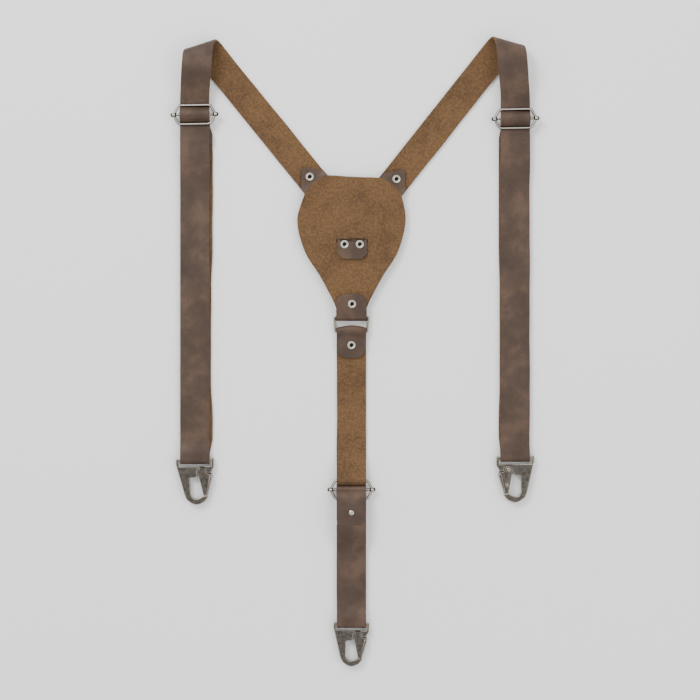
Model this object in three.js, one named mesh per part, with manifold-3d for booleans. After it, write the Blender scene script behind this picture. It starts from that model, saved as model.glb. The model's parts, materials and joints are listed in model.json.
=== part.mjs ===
// Leather Y-back suspenders, laid out flat with the wearer's side of the back up.
// Two front straps roll over at the shoulders and meet at a back patch. A D-ring under the patch carries
// the rear strap. Each strap has a wire adjuster and ends in a snap hook.
// Millimetres. +X right, +Y towards the shoulders, +Z up. The origin is below the middle of the object.
import * as THREE from "three";
import { mergeVertices } from "three/addons/utils/BufferGeometryUtils.js";
import Module from "manifold-3d";

const wasm = await Module();
wasm.setup();

// ---- driving dimensions ----
const gap = 0.35; // between pieces that touch
const leather = 1.8; // thickness of every layer
const strapWidth = 25.4;
const tableGap = 0.6; // rivet heads stand this far below the lowest leather
const rollRadius = 8; // middle of the leather at the shoulder
const wire = 2.2; // diameter of the adjuster's wire
const ringWire = 2.6; // diameter of the D-ring's wire
const adjusterPitch = 16.2; // between the adjuster's outer bars
const adjusterBar = strapWidth + 3.4; // straight length of an outer bar
const adjusterSpan = adjusterBar + 8.8; // between the adjuster's side points
const ringDepth = 13; // between the D-ring's bar and its arc
const ringWidth = strapWidth + 3.6; // between the D-ring's corners
const hookThickness = 4.6;
const hookBar = 2.4; // thickness of the hook's strap bar
const hookLength = 36.4; // from the strap bar to the bottom
const hookWidth = strapWidth + 5.6;
const rivetFlange = 3.7; // radius
const rivetShank = 1.7; // radius
const rivetBore = 1.1; // radius
const flangeHeight = 0.6;
const tailFold = 26; // free end beyond the adjuster's middle bar
const tailRivetBack = 19.5; // from the adjuster's middle bar
const centreX = -1.8; // of the patch, the D-ring and the rear strap
const shoulders = {
  left: { side: -1, frontX: 137.3, lean: 4.6, crossX: 133.2, crossY: 269.3, heading: 39, ear: 151.5 },
  right: { side: 1, frontX: 139.8, lean: 6, crossX: 134.4, crossY: 272.2, heading: 38.4, ear: 156.5 },
};
const frontHookY = { left: -93.6, right: -91.6 };
const frontAdjusterY = { left: 205, right: 201.5 };
const ringY = 30.6; // the D-ring's straight bar
const rearAdjusterY = -119;
const rearHookY = -235.5;
const tabTop = 97.5; // where the centre tab leaves its slit
const tabLength = 17;
const tagLength = 30; // on the outer face

// ---- levels: layer 0 is the lowest strap, and each layer above it is one sheet higher ----
const sheet = leather + gap;
const layer = (number) => tableGap + leather / 2 + number * sheet;
const rollTop = layer(0) + 2 * rollRadius;
const barTurn = wire / 2 + gap + leather / 2; // middle of a layer that rests on an adjuster's bar
const hookZ = layer(0) + hookBar / 2 + gap + leather / 2;
const frontAdjusterZ = layer(0) + barTurn + 2 * sheet;
const ringTurn = ringWire / 2 + 1.5 * gap + leather / 2;
const ringZ = layer(0) + ringTurn;

const radians = THREE.MathUtils.degToRad;
const smooth = (value) => THREE.MathUtils.smoothstep(value, 0, 1);

// ---- solids ----
function solid(geometry) {
  const bare = geometry.clone();
  bare.deleteAttribute("normal");
  bare.deleteAttribute("uv");
  const merged = mergeVertices(bare, 1e-4);
  return new wasm.Manifold(
    new wasm.Mesh({
      numProp: 3,
      vertProperties: merged.attributes.position.array,
      triVerts: new Uint32Array(merged.index.array),
    }),
  );
}

function geometryOf(body) {
  const mesh = body.getMesh();
  const geometry = new THREE.BufferGeometry();
  geometry.setAttribute("position", new THREE.BufferAttribute(mesh.vertProperties, 3));
  geometry.setIndex(new THREE.BufferAttribute(mesh.triVerts, 1));
  geometry.computeVertexNormals();
  return geometry;
}

// An upright cylinder between two heights.
function post(x, y, radius, bottom, top, sides = 16) {
  const geometry = new THREE.CylinderGeometry(radius, radius, top - bottom, sides);
  geometry.rotateX(Math.PI / 2);
  geometry.translate(x, y, (top + bottom) / 2);
  return solid(geometry);
}

// A flat plate of an outline, between two heights.
function plate(shape, bottom, top, curveSegments = 8) {
  const geometry = new THREE.ExtrudeGeometry(shape, {
    depth: top - bottom,
    bevelEnabled: false,
    curveSegments,
  });
  geometry.translate(0, 0, bottom);
  return solid(geometry);
}

function block(x0, x1, y0, y1, z0, z1) {
  const geometry = new THREE.BoxGeometry(x1 - x0, y1 - y0, z1 - z0);
  geometry.translate((x0 + x1) / 2, (y0 + y1) / 2, (z0 + z1) / 2);
  return solid(geometry);
}

// A closed loop of wire through corner points, with rounded corners and a butt joint at its start.
function wireLoop(corners, cornerRadius, radius) {
  const jointGap = 0.15;
  const steps = 50;
  const points = corners.map(([x, y]) => new THREE.Vector3(x, y, 0));
  const toward = (from, to, distance) => to.clone().sub(from).setLength(distance).add(from);
  const path = new THREE.CurvePath();
  let last = toward(points[0], points[1], jointGap);
  points.slice(1).forEach((corner, i) => {
    const next = points[(i + 2) % points.length];
    const before = toward(corner, points[i], cornerRadius);
    const after = toward(corner, next, cornerRadius);
    path.add(new THREE.LineCurve3(last, before));
    path.add(new THREE.QuadraticBezierCurve3(before, corner, after));
    last = after;
  });
  path.add(new THREE.LineCurve3(last, toward(points[0], points.at(-1), jointGap)));
  const section = new THREE.Shape().absarc(0, 0, radius, 0, 2 * Math.PI);
  return solid(
    new THREE.ExtrudeGeometry(section, { steps, extrudePath: path, curveSegments: 3, bevelEnabled: false }),
  );
}

// The side view of a leather strip: stations (u along it, w up) with the strip's half width at each.
class Route {
  constructor(u, w, half = strapWidth / 2) {
    this.stations = [{ u, w, half }];
    this.half = half;
  }
  last() {
    return this.stations[this.stations.length - 1];
  }
  add(u, w, half = this.half) {
    this.stations.push({ u, w, half });
    return this;
  }
  line(u, w, steps = 1) {
    const { u: u0, w: w0 } = this.last();
    for (let i = 1; i <= steps; i += 1) this.add(u0 + ((u - u0) * i) / steps, w0 + ((w - w0) * i) / steps);
    return this;
  }
  ramp(u, w, steps = 6) {
    const { u: u0, w: w0 } = this.last();
    for (let i = 1; i <= steps; i += 1) {
      this.add(u0 + ((u - u0) * i) / steps, w0 + (w - w0) * smooth(i / steps));
    }
    return this;
  }
  arc(centreU, centreW, radius, from, to, steps = 6) {
    for (let i = 0; i <= steps; i += 1) {
      const angle = radians(from + ((to - from) * i) / steps);
      this.add(centreU + radius * Math.cos(angle), centreW + radius * Math.sin(angle));
    }
    return this;
  }
  // A pointed end with a blunt tip, running on in the direction of u.
  point(u, tipHalf) {
    return this.add(u, this.last().w, tipHalf);
  }
  // A rounded end, a shallow arc that reaches to u.
  round(u, steps = 5) {
    const { u: u0, w } = this.last();
    for (let i = 1; i <= steps; i += 1) {
      const angle = (Math.PI / 2) * (i / steps) * 0.85;
      this.add(u0 + (u - u0) * Math.sin(angle), w, this.half * Math.cos(angle));
    }
    return this;
  }
}

// A strip of leather along a route. place turns (u, v across, w) into a point of the object.
function strip(route, place, across = 2) {
  const { stations } = route;
  const rows = stations.length - 1;
  const geometry = new THREE.BoxGeometry(2, rows, leather, across, rows, 1);
  const position = geometry.attributes.position;
  const normals = stations.map((_, i) => {
    const before = stations[Math.max(i - 1, 0)];
    const after = stations[Math.min(i + 1, rows)];
    const length = Math.hypot(after.u - before.u, after.w - before.w);
    return { u: -(after.w - before.w) / length, w: (after.u - before.u) / length };
  });
  for (let i = 0; i < position.count; i += 1) {
    const row = Math.round(position.getY(i) + rows / 2);
    const { u, w, half } = stations[row];
    const lift = position.getZ(i);
    const point = place(u + lift * normals[row].u, position.getX(i) * half, w + lift * normals[row].w);
    position.setXYZ(i, point.x, point.y, point.z);
  }
  return solid(geometry);
}

const material = {
  grain: () => new THREE.MeshStandardMaterial({ color: 0x5f4e42, roughness: 0.7, metalness: 0 }),
  suede: () => new THREE.MeshStandardMaterial({ color: 0x82623e, roughness: 0.95, metalness: 0 }),
  pewter: () => new THREE.MeshStandardMaterial({ color: 0x8d8a84, roughness: 0.4, metalness: 1 }),
  nickel: () => new THREE.MeshStandardMaterial({ color: 0xb9b6ae, roughness: 0.3, metalness: 1 }),
};

const object = new THREE.Group();
object.name = "suspenders";

function add(name, body, finish, parent = object) {
  const mesh = new THREE.Mesh(geometryOf(body), finish());
  mesh.name = name;
  parent.add(mesh);
  return mesh;
}

// ---- rivets: a tubular rivet has a rolled flange on top and a flat head below ----
function rivetBody(x, y, bottom, top) {
  const head = rivetFlange;
  const profile = [
    [0, bottom],
    [head, bottom],
    [head, bottom + flangeHeight],
    [rivetShank, bottom + flangeHeight],
    [rivetShank, top - flangeHeight],
    [head, top - flangeHeight],
    [head - 0.4, top],
    [rivetBore, top],
    [rivetBore, bottom + 2 * flangeHeight],
    [0, bottom + 2 * flangeHeight],
  ];
  const geometry = new THREE.LatheGeometry(profile.map(([r, z]) => new THREE.Vector2(r, z)), 12);
  geometry.rotateX(Math.PI / 2);
  geometry.translate(x, y, 0);
  return solid(geometry);
}

// The room that a rivet's shank and heads need in the leather between two heights.
function rivetRoom(x, y, bottom, top) {
  const shank = post(x, y, rivetShank + gap, bottom - 1, top + 1, 12);
  const lower = post(x, y, rivetFlange + gap, bottom - gap, bottom + flangeHeight + gap, 12);
  const upper = post(x, y, rivetFlange + gap, top - flangeHeight - gap, top + gap, 12);
  return shank.add(lower).add(upper);
}

// ---- front straps: free end, adjuster loop, tail, hook loop, front run, shoulder roll, ear ----
const weaveReach = adjusterPitch / 2;
const loopTurn = barTurn + sheet; // the strap over the leather that wraps the middle bar
const weaveAngle = THREE.MathUtils.radToDeg(Math.asin((barTurn + loopTurn) / weaveReach));
const tailAngle = THREE.MathUtils.radToDeg(Math.asin((loopTurn + sheet - barTurn) / weaveReach));

// The end of a strap that folds round the middle bar, then its tail to the hook's bar and round it.
// up is 1 where the adjuster lies above the strap, and -1 where it lies below.
function tailRoute(adjusterU, adjusterW, hookU, hookW, tailW) {
  const legW = adjusterW - loopTurn;
  const tailLegW = legW - sheet;
  const lowerU = adjusterU - weaveReach;
  return new Route(adjusterU - tailFold, legW)
    .line(lowerU - 3, legW, 2)
    .arc(lowerU, adjusterW, loopTurn, -90, -90 + weaveAngle, 4)
    .arc(adjusterU, adjusterW, barTurn, 90 + weaveAngle, -90 - tailAngle, 12)
    .arc(lowerU, adjusterW, loopTurn + sheet, -90 + tailAngle - 2, -90, 3)
    .line(adjusterU - tailFold - 4, tailLegW, 2)
    .ramp(adjusterU - tailFold - 34, tailW, 6)
    .line(hookU + 16, tailW, 3)
    .ramp(hookU + 4, hookW - (hookBar / 2 + gap + leather / 2), 4)
    .arc(hookU, hookW, hookBar / 2 + gap + leather / 2, -90, -270, 10);
}

// The run from the hook's bar through the adjuster, which it passes under, over and under.
function weave(route, adjusterU, adjusterW, hookU, runW) {
  const lowerU = adjusterU - weaveReach;
  const upperU = adjusterU + weaveReach;
  return route
    .line(hookU + 4, route.last().w, 1)
    .ramp(hookU + 18, runW, 5)
    .line(adjusterU - tailFold - 38, runW, 3)
    .ramp(adjusterU - tailFold - 4, adjusterW - barTurn, 6)
    .line(lowerU - 1, adjusterW - barTurn, 2)
    .arc(lowerU, adjusterW, barTurn, -90, -90 + weaveAngle, 4)
    .arc(adjusterU, adjusterW, loopTurn, 90 + weaveAngle, 90 - weaveAngle, 8)
    .arc(upperU, adjusterW, barTurn, -90 - weaveAngle, -90, 4);
}

// The lie of a front strap: straight along +Y, then a slight lean inwards, then the roll at the shoulder.
// It is worked out for the left strap, and the right strap is its mirror image.
function shoulderFrame({ side, frontX, lean, crossX, crossY, heading }) {
  const mirror = -side;
  const leanAngle = radians(lean);
  const bendReach = 5;
  const bendRadius = bendReach / Math.tan(leanAngle / 2);
  const bendY = crossY - (frontX - crossX) / Math.tan(leanAngle);
  const bendStart = bendY - bendReach;
  const bendLength = bendRadius * leanAngle;
  const crossU = bendStart + bendLength + (crossY - bendY) / Math.cos(leanAngle) - bendReach;
  const foldAngle = radians((heading - lean) / 2);
  const normal = new THREE.Vector2(-Math.sin(foldAngle), Math.cos(foldAngle));
  const foldStart = new THREE.Vector2(-crossX, crossY).dot(normal) - (Math.PI / 2) * rollRadius;

  const place = (u, v, w) => {
    const turned = THREE.MathUtils.clamp((u - bendStart) / bendRadius, 0, leanAngle);
    const beyond = Math.max(0, u - bendStart - bendLength);
    const flat = new THREE.Vector2(
      -frontX + bendRadius * (1 - Math.cos(turned)) + beyond * Math.sin(leanAngle),
      Math.min(u, bendStart) + bendRadius * Math.sin(turned) + beyond * Math.cos(leanAngle),
    );
    flat.x += mirror * v * Math.cos(turned);
    flat.y -= mirror * v * Math.sin(turned);
    const past = flat.dot(normal) - foldStart;
    const angle = THREE.MathUtils.clamp(past / rollRadius, 0, Math.PI);
    const height = w - rollTop;
    if (angle > 0) {
      const rolled = (rollRadius + height) * Math.sin(angle);
      const straight = (past - angle * rollRadius) * Math.cos(angle);
      flat.addScaledVector(normal, rolled + straight - past);
    }
    const z = angle > 0 ? rollTop - rollRadius + (rollRadius + height) * Math.cos(angle) : w;
    return new THREE.Vector3(mirror * flat.x, flat.y, z);
  };
  return { place, crossU };
}

// Beyond the roll a layer's height is measured down from the roll's top.
const rolledLayer = (number) => rollTop - number * sheet;
const earEdge = 8.4; // from the ear's rivet to the patch's edge
const cornerBarWidth = 11; // of the patch, inside its edge
const earTip = 10; // from the ear's rivet to its point
const slotLength = strapWidth + 2;
const loopOut = sheet + leather / 2 + gap;

function frontStrapRoute(name) {
  const hookU = frontHookY[name];
  const adjusterU = frontAdjusterY[name];
  const { crossU } = shoulderFrame(shoulders[name]);
  const earU = crossU + shoulders[name].ear;
  const barU = earU + earEdge + cornerBarWidth;
  const rollStart = crossU - 22;
  const route = tailRoute(adjusterU, frontAdjusterZ, hookU, hookZ, layer(0));
  weave(route, adjusterU, frontAdjusterZ, hookU, layer(1))
    .ramp(rollStart, rollTop, 8)
    .line(crossU + 26, rollTop, 20)
    .line(barU - 1, rollTop, 4)
    .arc(barU, rolledLayer(1), sheet, 90, -90, 8)
    .line(earU + earEdge - gap, rolledLayer(2), 2)
    .ramp(earU + rivetFlange + gap, rolledLayer(1), 4)
    .line(earU - earTip + strapWidth / 2 - 1.5, rolledLayer(1), 1)
    .point(earU - earTip, 1.5);
  return route;
}

// A point of a front strap beyond its roll: distance past the ear's rivet, and across towards the middle.
function earPoint(name, past, inwards) {
  const { place, crossU } = shoulderFrame(shoulders[name]);
  return place(crossU + shoulders[name].ear + past, -shoulders[name].side * inwards, rollTop);
}

function rivetAt(name, x, y, bottomLayer, topLayer) {
  const bottom = layer(bottomLayer) - leather / 2 - flangeHeight;
  const top = layer(topLayer) + leather / 2 + flangeHeight;
  add(name, rivetBody(x, y, bottom, top), material.nickel);
  return rivetRoom(x, y, bottom, top);
}

for (const name of ["left", "right"]) {
  const { place } = shoulderFrame(shoulders[name]);
  const ear = earPoint(name, 0, 0);
  const tailRivetY = frontAdjusterY[name] - tailRivetBack;
  const legBottom = frontAdjusterZ - loopTurn - sheet - leather / 2;
  const tailBottom = legBottom - flangeHeight + gap;
  const tailTop = frontAdjusterZ - loopTurn + leather / 2;
  const tailRivetX = shoulders[name].side * shoulders[name].frontX;
  add(`${name}_tail_rivet`, rivetBody(tailRivetX, tailRivetY, tailBottom, tailTop), material.nickel);
  const strap = strip(frontStrapRoute(name), place, 2)
    .subtract(rivetAt(`${name}_ear_rivet`, ear.x, ear.y, 0, 1))
    .subtract(rivetRoom(tailRivetX, tailRivetY, tailBottom, tailTop));
  add(`${name}_strap`, strap, material.grain);
}

// ---- adjusters: a bent wire frame, and a middle bar crimped round its side points ----
function adjusterFrame(radius) {
  const halfBar = adjusterBar / 2;
  const halfSpan = adjusterSpan / 2;
  const reach = adjusterPitch / 2;
  const corners = [[0, -reach], [halfBar, -reach], [halfSpan, 0], [halfBar, reach],
    [-halfBar, reach], [-halfSpan, 0], [-halfBar, -reach]];
  return wireLoop(corners, 1.6, radius);
}

function adjusterBarBody() {
  const eyelet = 2.4;
  const halfSpan = adjusterSpan / 2;
  const rod = new THREE.CylinderGeometry(wire / 2, wire / 2, 2 * halfSpan, 10).rotateZ(Math.PI / 2);
  const bar = [-1, 1].reduce((body, side) => {
    const knob = new THREE.CylinderGeometry(eyelet, eyelet, 3.4, 12).translate(side * (halfSpan - 0.4), 0, 0);
    return body.add(solid(knob));
  }, solid(rod));
  return bar.subtract(adjusterFrame(wire / 2 + gap));
}

function addAdjuster(name, x, y, z) {
  const group = new THREE.Group();
  group.position.set(x, y, z);
  object.add(group);
  add(`${name}_adjuster_frame`, adjusterFrame(wire / 2), material.nickel, group);
  add(`${name}_adjuster_bar`, adjusterBarBody(), material.nickel, group);
}
addAdjuster("left", -shoulders.left.frontX, frontAdjusterY.left, frontAdjusterZ);
addAdjuster("right", shoulders.right.frontX, frontAdjusterY.right, frontAdjusterZ);

// ---- the D-ring: a straight bar in the patch's loop, and a shallow arc in the rear strap's loop ----
const ringArcY = ringY - ringDepth;
const ringBow = 2; // how far the arc's ends rise over half the strap's width
const bowAt = (x) => ringBow * ((2 * x) / strapWidth) ** 2;

function ringBody() {
  const half = ringWidth / 2 + 0.5;
  const arcHalf = half - 1.1;
  const arc = [1, 0.6, 0.2, -0.2, -0.6, -1].map((share) => [share * arcHalf, bowAt(share * arcHalf) - ringDepth]);
  return wireLoop([[0, 0], [half, 0], ...arc, [-half, 0]], 1.4, ringWire / 2);
}
const ring = add("d_ring", ringBody(), material.pewter);
ring.position.set(centreX, ringY, ringZ);

// ---- rear strap: the same pattern turned over, with its tail on top, and a tab at the D-ring ----
const rearFlip = layer(0) + layer(1);
const rearAdjusterZ = tableGap / 2 + leather + barTurn + sheet - leather / 2;
const rearTabEnd = -5.2;
const rearTabRivetY = 5.9;

function rearPlace(u, v, w) {
  const nearRing = smooth((u - rearTabEnd) / (ringArcY - 6 - rearTabEnd));
  return new THREE.Vector3(centreX - v, u + bowAt(v) * nearRing, rearFlip - w);
}

function rearStrapRoute() {
  const adjusterW = rearFlip - rearAdjusterZ;
  const ringW = rearFlip - ringZ;
  const route = tailRoute(rearAdjusterY, adjusterW, rearHookY, rearFlip - hookZ, layer(0));
  return weave(route, rearAdjusterY, adjusterW, rearHookY, layer(1))
    .ramp(rearAdjusterY + weaveReach + 26, layer(1), 6)
    .line(rearTabEnd - 6, layer(1), 3)
    .line(ringArcY - 5, layer(1), 5)
    .line(ringArcY - 1, ringW + ringTurn, 2)
    .arc(ringArcY, ringW, ringTurn, 90, -90, 8)
    .ramp(rearTabRivetY + rivetFlange + 1, layer(0), 5)
    .line(rearTabRivetY - 4, layer(0), 2)
    .round(rearTabEnd);
}

function addRearStrap() {
  const tailRivetY = rearAdjusterY - tailRivetBack;
  const legTop = rearAdjusterZ + loopTurn + sheet + leather / 2;
  const tailTop = legTop + flangeHeight;
  const tailBottom = rearAdjusterZ + loopTurn - leather / 2;
  add("rear_tail_rivet", rivetBody(centreX, tailRivetY, tailBottom, tailTop), material.nickel);
  const strap = strip(rearStrapRoute(), rearPlace, 4)
    .subtract(rivetAt("rear_strap_rivet", centreX, rearTabRivetY, 0, 1))
    .subtract(rivetRoom(centreX, tailRivetY, tailBottom, tailTop));
  add("rear_strap", strap, material.suede);
}
addRearStrap();
addAdjuster("rear", centreX, rearAdjusterY, rearAdjusterZ);

// ---- back patch: an outer layer whose neck holds the D-ring, a lining over it, and a centre tab ----
const patchSides = [[46.9, 114], [40.6, 87.5], [27.8, 66.5], [17.2, 47]]; // half width, height
const neckHalf = strapWidth / 2 + 0.5;
const neckEnd = 38; // where both layers' outline ends
const neckTabEnd = 50;
const neckRivetY = 41.4;

function patchShape() {
  const corner = (name, across) => {
    const { x, y } = earPoint(name, earEdge, across);
    return new THREE.Vector2(x, y);
  };
  const half = strapWidth / 2 - 0.7;
  const side = (sign) => [...patchSides, [neckHalf, neckEnd]]
    .map(([x, y]) => new THREE.Vector2(centreX + sign * x, y));
  const shape = new THREE.Shape();
  const start = corner("left", half);
  shape.moveTo(start.x, start.y);
  shape.lineTo(corner("left", -half).x, corner("left", -half).y);
  shape.splineThru(side(-1));
  shape.lineTo(centreX + neckHalf, neckEnd);
  shape.splineThru([...side(1).reverse().slice(1), corner("right", -half)]);
  shape.lineTo(corner("right", half).x, corner("right", half).y);
  shape.closePath();
  return shape;
}

// A slot for a strap's loop, in the strap's own direction.
function slotBody(name) {
  const near = earEdge + cornerBarWidth;
  const corners = [[near, -1], [near + loopOut + gap, -1], [near + loopOut + gap, 1], [near, 1]];
  const outline = corners.map(([past, share]) => {
    const { x, y } = earPoint(name, past, (share * slotLength) / 2);
    return new THREE.Vector2(x, y);
  });
  return plate(new THREE.Shape(outline), layer(0), layer(2));
}

// The lining lies on the outer layer, and rises over each strap's folded end.
const riseMargin = 0.7 * leather; // clear of the folded end
const riseLength = 5.6 * sheet;
function liningRise(x, y) {
  return Math.max(...Object.keys(shoulders).map((name) => {
    const near = earPoint(name, 0, 0);
    const far = earPoint(name, 1, 0);
    const along = (x - near.x) * (far.x - near.x) + (y - near.y) * (far.y - near.y);
    const across = Math.abs((x - near.x) * (far.y - near.y) - (y - near.y) * (far.x - near.x));
    const end = earEdge + cornerBarWidth + loopOut;
    const beyond = smooth(1 - (along - end - riseMargin) / riseLength);
    return beyond * smooth(1 - (across - strapWidth / 2 - riseMargin) / riseLength);
  }));
}

function liningBody() {
  const width = 104;
  const height = 130;
  const middleY = 96;
  const sheetGeometry = new THREE.BoxGeometry(width, height, leather, 16, 20, 1);
  sheetGeometry.translate(centreX, middleY, 0);
  const position = sheetGeometry.attributes.position;
  for (let i = 0; i < position.count; i += 1) {
    const rise = liningRise(position.getX(i), position.getY(i));
    position.setZ(i, position.getZ(i) + layer(2) + sheet * rise);
  }
  return solid(sheetGeometry).intersect(plate(patchShape(), layer(1), layer(4)));
}

function neckRoute() {
  return new Route(neckEnd + 12, layer(1), neckHalf)
    .line(neckEnd + 1, layer(1))
    .ramp(ringY + 1, ringZ - ringTurn, 4)
    .arc(ringY, ringZ, ringTurn, -90, -270, 8)
    .ramp(neckRivetY - rivetFlange, layer(3), 4)
    .line(neckTabEnd - 4, layer(3))
    .round(neckTabEnd);
}

function centreTabRoute() {
  const cut = 4.5; // of the tab's lower corners
  const turn = 1.5 * sheet;
  return new Route(tabTop - tabLength, layer(3), strapWidth / 2 - cut)
    .add(tabTop - tabLength + cut, layer(3), strapWidth / 2)
    .line(tabTop, layer(3), 1)
    .arc(tabTop, layer(0) + turn, turn, 90, -90, 8)
    .line(tabTop - tagLength, layer(0), 1);
}

function addBackPatch() {
  const straight = (u, v, w) => new THREE.Vector3(centreX + v, u, w);
  const tabX = centreX + 0.6;
  const tabRivets = { left: tabX - 6.6, right: tabX + 6.6 };
  const tabRivetY = tabTop - 4.5;
  const rooms = Object.entries(tabRivets)
    .map(([side, x]) => rivetAt(`centre_tab_rivet_${side}`, x, tabRivetY, 0, 3));
  const neckRoom = rivetAt("neck_rivet", centreX + 0.5, neckRivetY, 1, 3);
  const slit = block(tabX - strapWidth / 2 - 0.6, tabX + strapWidth / 2 + 0.6,
    tabTop + 1, tabTop + 1.5 * sheet + leather / 2 + gap, layer(0), layer(3));
  const cutRooms = (body) => rooms.reduce((left, room) => left.subtract(room), body);
  const outer = plate(patchShape(), layer(1) - leather / 2, layer(1) + leather / 2)
    .add(strip(neckRoute(), straight))
    .subtract(slotBody("left"))
    .subtract(slotBody("right"))
    .subtract(neckRoom)
    .subtract(slit);
  add("back_patch_outer", cutRooms(outer), material.grain);
  add("back_patch_lining", cutRooms(liningBody().subtract(slit)).subtract(neckRoom), material.suede);
  const tab = strip(centreTabRoute(), (u, v, w) => new THREE.Vector3(tabX + v, u, w));
  add("centre_tab", cutRooms(tab), material.grain);
}
addBackPatch();

// ---- snap hooks, drawn with the strap's bar along X at the origin and the gate on +X ----
const slotHalf = strapWidth / 2 + 0.5;
const slotDepth = 5.8;
const gatePivot = { x: 5.5, y: -9.4 };
const gateRadius = 3.8;
const gateLength = 19;
const lugHalf = 0.8;
const channelHalf = lugHalf + gap;
const pinRadius = 1.2;
const springPin = { x: 6.9, y: -22, radius: 0.9 };

function hookShape() {
  const half = hookWidth / 2;
  const shape = new THREE.Shape();
  shape.moveTo(-half, hookBar / 2);
  shape.lineTo(-half, -3);
  shape.lineTo(-9.6, -27);
  shape.splineThru([[-7, -32.6], [0, -hookLength], [6.6, -34.2], [10, -30.3]]
    .map(([x, y]) => new THREE.Vector2(x, y)));
  shape.lineTo(9.6, gatePivot.y - gateLength - 0.9);
  shape.lineTo(5.8, gatePivot.y - gateLength - 0.9);
  shape.splineThru([[2.2, -31.2], [-2, -31.2], [-4.3, -28]].map(([x, y]) => new THREE.Vector2(x, y)));
  shape.lineTo(-4.3, -14.3);
  shape.lineTo(0.2, -14.3);
  shape.lineTo(1.6, -11);
  shape.absarc(gatePivot.x, gatePivot.y, gateRadius - 0.2, radians(205), radians(350), false);
  shape.lineTo(12.8, -10.6);
  shape.lineTo(half, -6);
  shape.lineTo(half, hookBar / 2);
  shape.closePath();
  return shape;
}

function hookBody() {
  const half = hookThickness / 2;
  const room = gateRadius + gap + 0.1;
  const window = block(-slotHalf, slotHalf, -slotDepth, 3, -half - 1, half + 1);
  const bar = solid(new THREE.CylinderGeometry(hookBar / 2, hookBar / 2, 2 * slotHalf + 1, 12).rotateZ(Math.PI / 2));
  return plate(hookShape(), -half, half, 6)
    .subtract(window)
    .add(bar)
    .subtract(post(gatePivot.x, gatePivot.y, room, lugHalf, half + 1, 20))
    .subtract(post(gatePivot.x, gatePivot.y, room, -half - 1, -lugHalf, 20))
    .subtract(post(gatePivot.x, gatePivot.y, pinRadius + gap, -half - 1, half + 1, 12));
}

function gateBody() {
  const half = hookThickness / 2;
  const shape = new THREE.Shape();
  const end = gatePivot.y - gateLength;
  shape.moveTo(gatePivot.x - gateRadius, gatePivot.y);
  shape.absarc(gatePivot.x, gatePivot.y, gateRadius, Math.PI, radians(-20), true);
  shape.lineTo(10, -11.5);
  shape.lineTo(13.4, -12.2);
  shape.lineTo(14.2, -13);
  shape.lineTo(9.7, end);
  shape.lineTo(6.2, end);
  shape.lineTo(2.8, -13);
  shape.closePath();
  const web = 1.3;
  const channel = block(0, 9.3 - web, end - 1, gatePivot.y + gateRadius + 1, -channelHalf, channelHalf);
  const lugRoom = post(gatePivot.x, gatePivot.y, gateRadius + gap, -channelHalf, channelHalf, 20);
  return plate(shape, -half, half, 6)
    .subtract(channel)
    .subtract(lugRoom)
    .subtract(post(gatePivot.x, gatePivot.y, pinRadius + gap, -half - 1, half - 0.5, 12))
    .subtract(post(springPin.x, springPin.y, springPin.radius + gap, -half - 1, half - 0.5, 12));
}

// A pin with its head below the hook's lower face, blind in the upper cheek.
function pinBody({ x, y }, radius, headRadius) {
  const half = hookThickness / 2;
  const head = post(x, y, headRadius, -half - gap - flangeHeight, -half - gap, 14);
  return post(x, y, radius, -half - gap - flangeHeight / 2, half - 0.5 - gap, 12).add(head);
}

function springBody() {
  const top = gatePivot.y - gateRadius - 2 * gap;
  return block(5.3, 5.9, springPin.y + springPin.radius + gap, top, -lugHalf, lugHalf);
}

function addHook(name, x, y, turnedOver) {
  const group = new THREE.Group();
  group.position.set(x, y, hookZ);
  if (turnedOver) group.rotation.y = Math.PI;
  object.add(group);
  add(`${name}_hook`, hookBody(), material.pewter, group);
  add(`${name}_hook_gate`, gateBody(), material.pewter, group);
  add(`${name}_hook_pivot`, pinBody(gatePivot, pinRadius, 2.7), material.pewter, group);
  add(`${name}_hook_spring_pin`, pinBody(springPin, springPin.radius, 2.1), material.pewter, group);
  add(`${name}_hook_spring`, springBody(), material.nickel, group);
}
addHook("left", -shoulders.left.frontX, frontHookY.left, false);
addHook("right", shoulders.right.frontX, frontHookY.right, true);
addHook("rear", centreX, rearHookY, false);

// The origin goes to the middle of the object's outer box, at the height of its lowest rivet.
const box = new THREE.Box3().setFromObject(object);
object.position.set(-(box.min.x + box.max.x) / 2, -(box.min.y + box.max.y) / 2, -box.min.z);

export default object;
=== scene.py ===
import json
import math

import bmesh
import bpy
from bpy.props import FloatProperty, FloatVectorProperty, PointerProperty
from mathutils import Matrix, Vector


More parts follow.
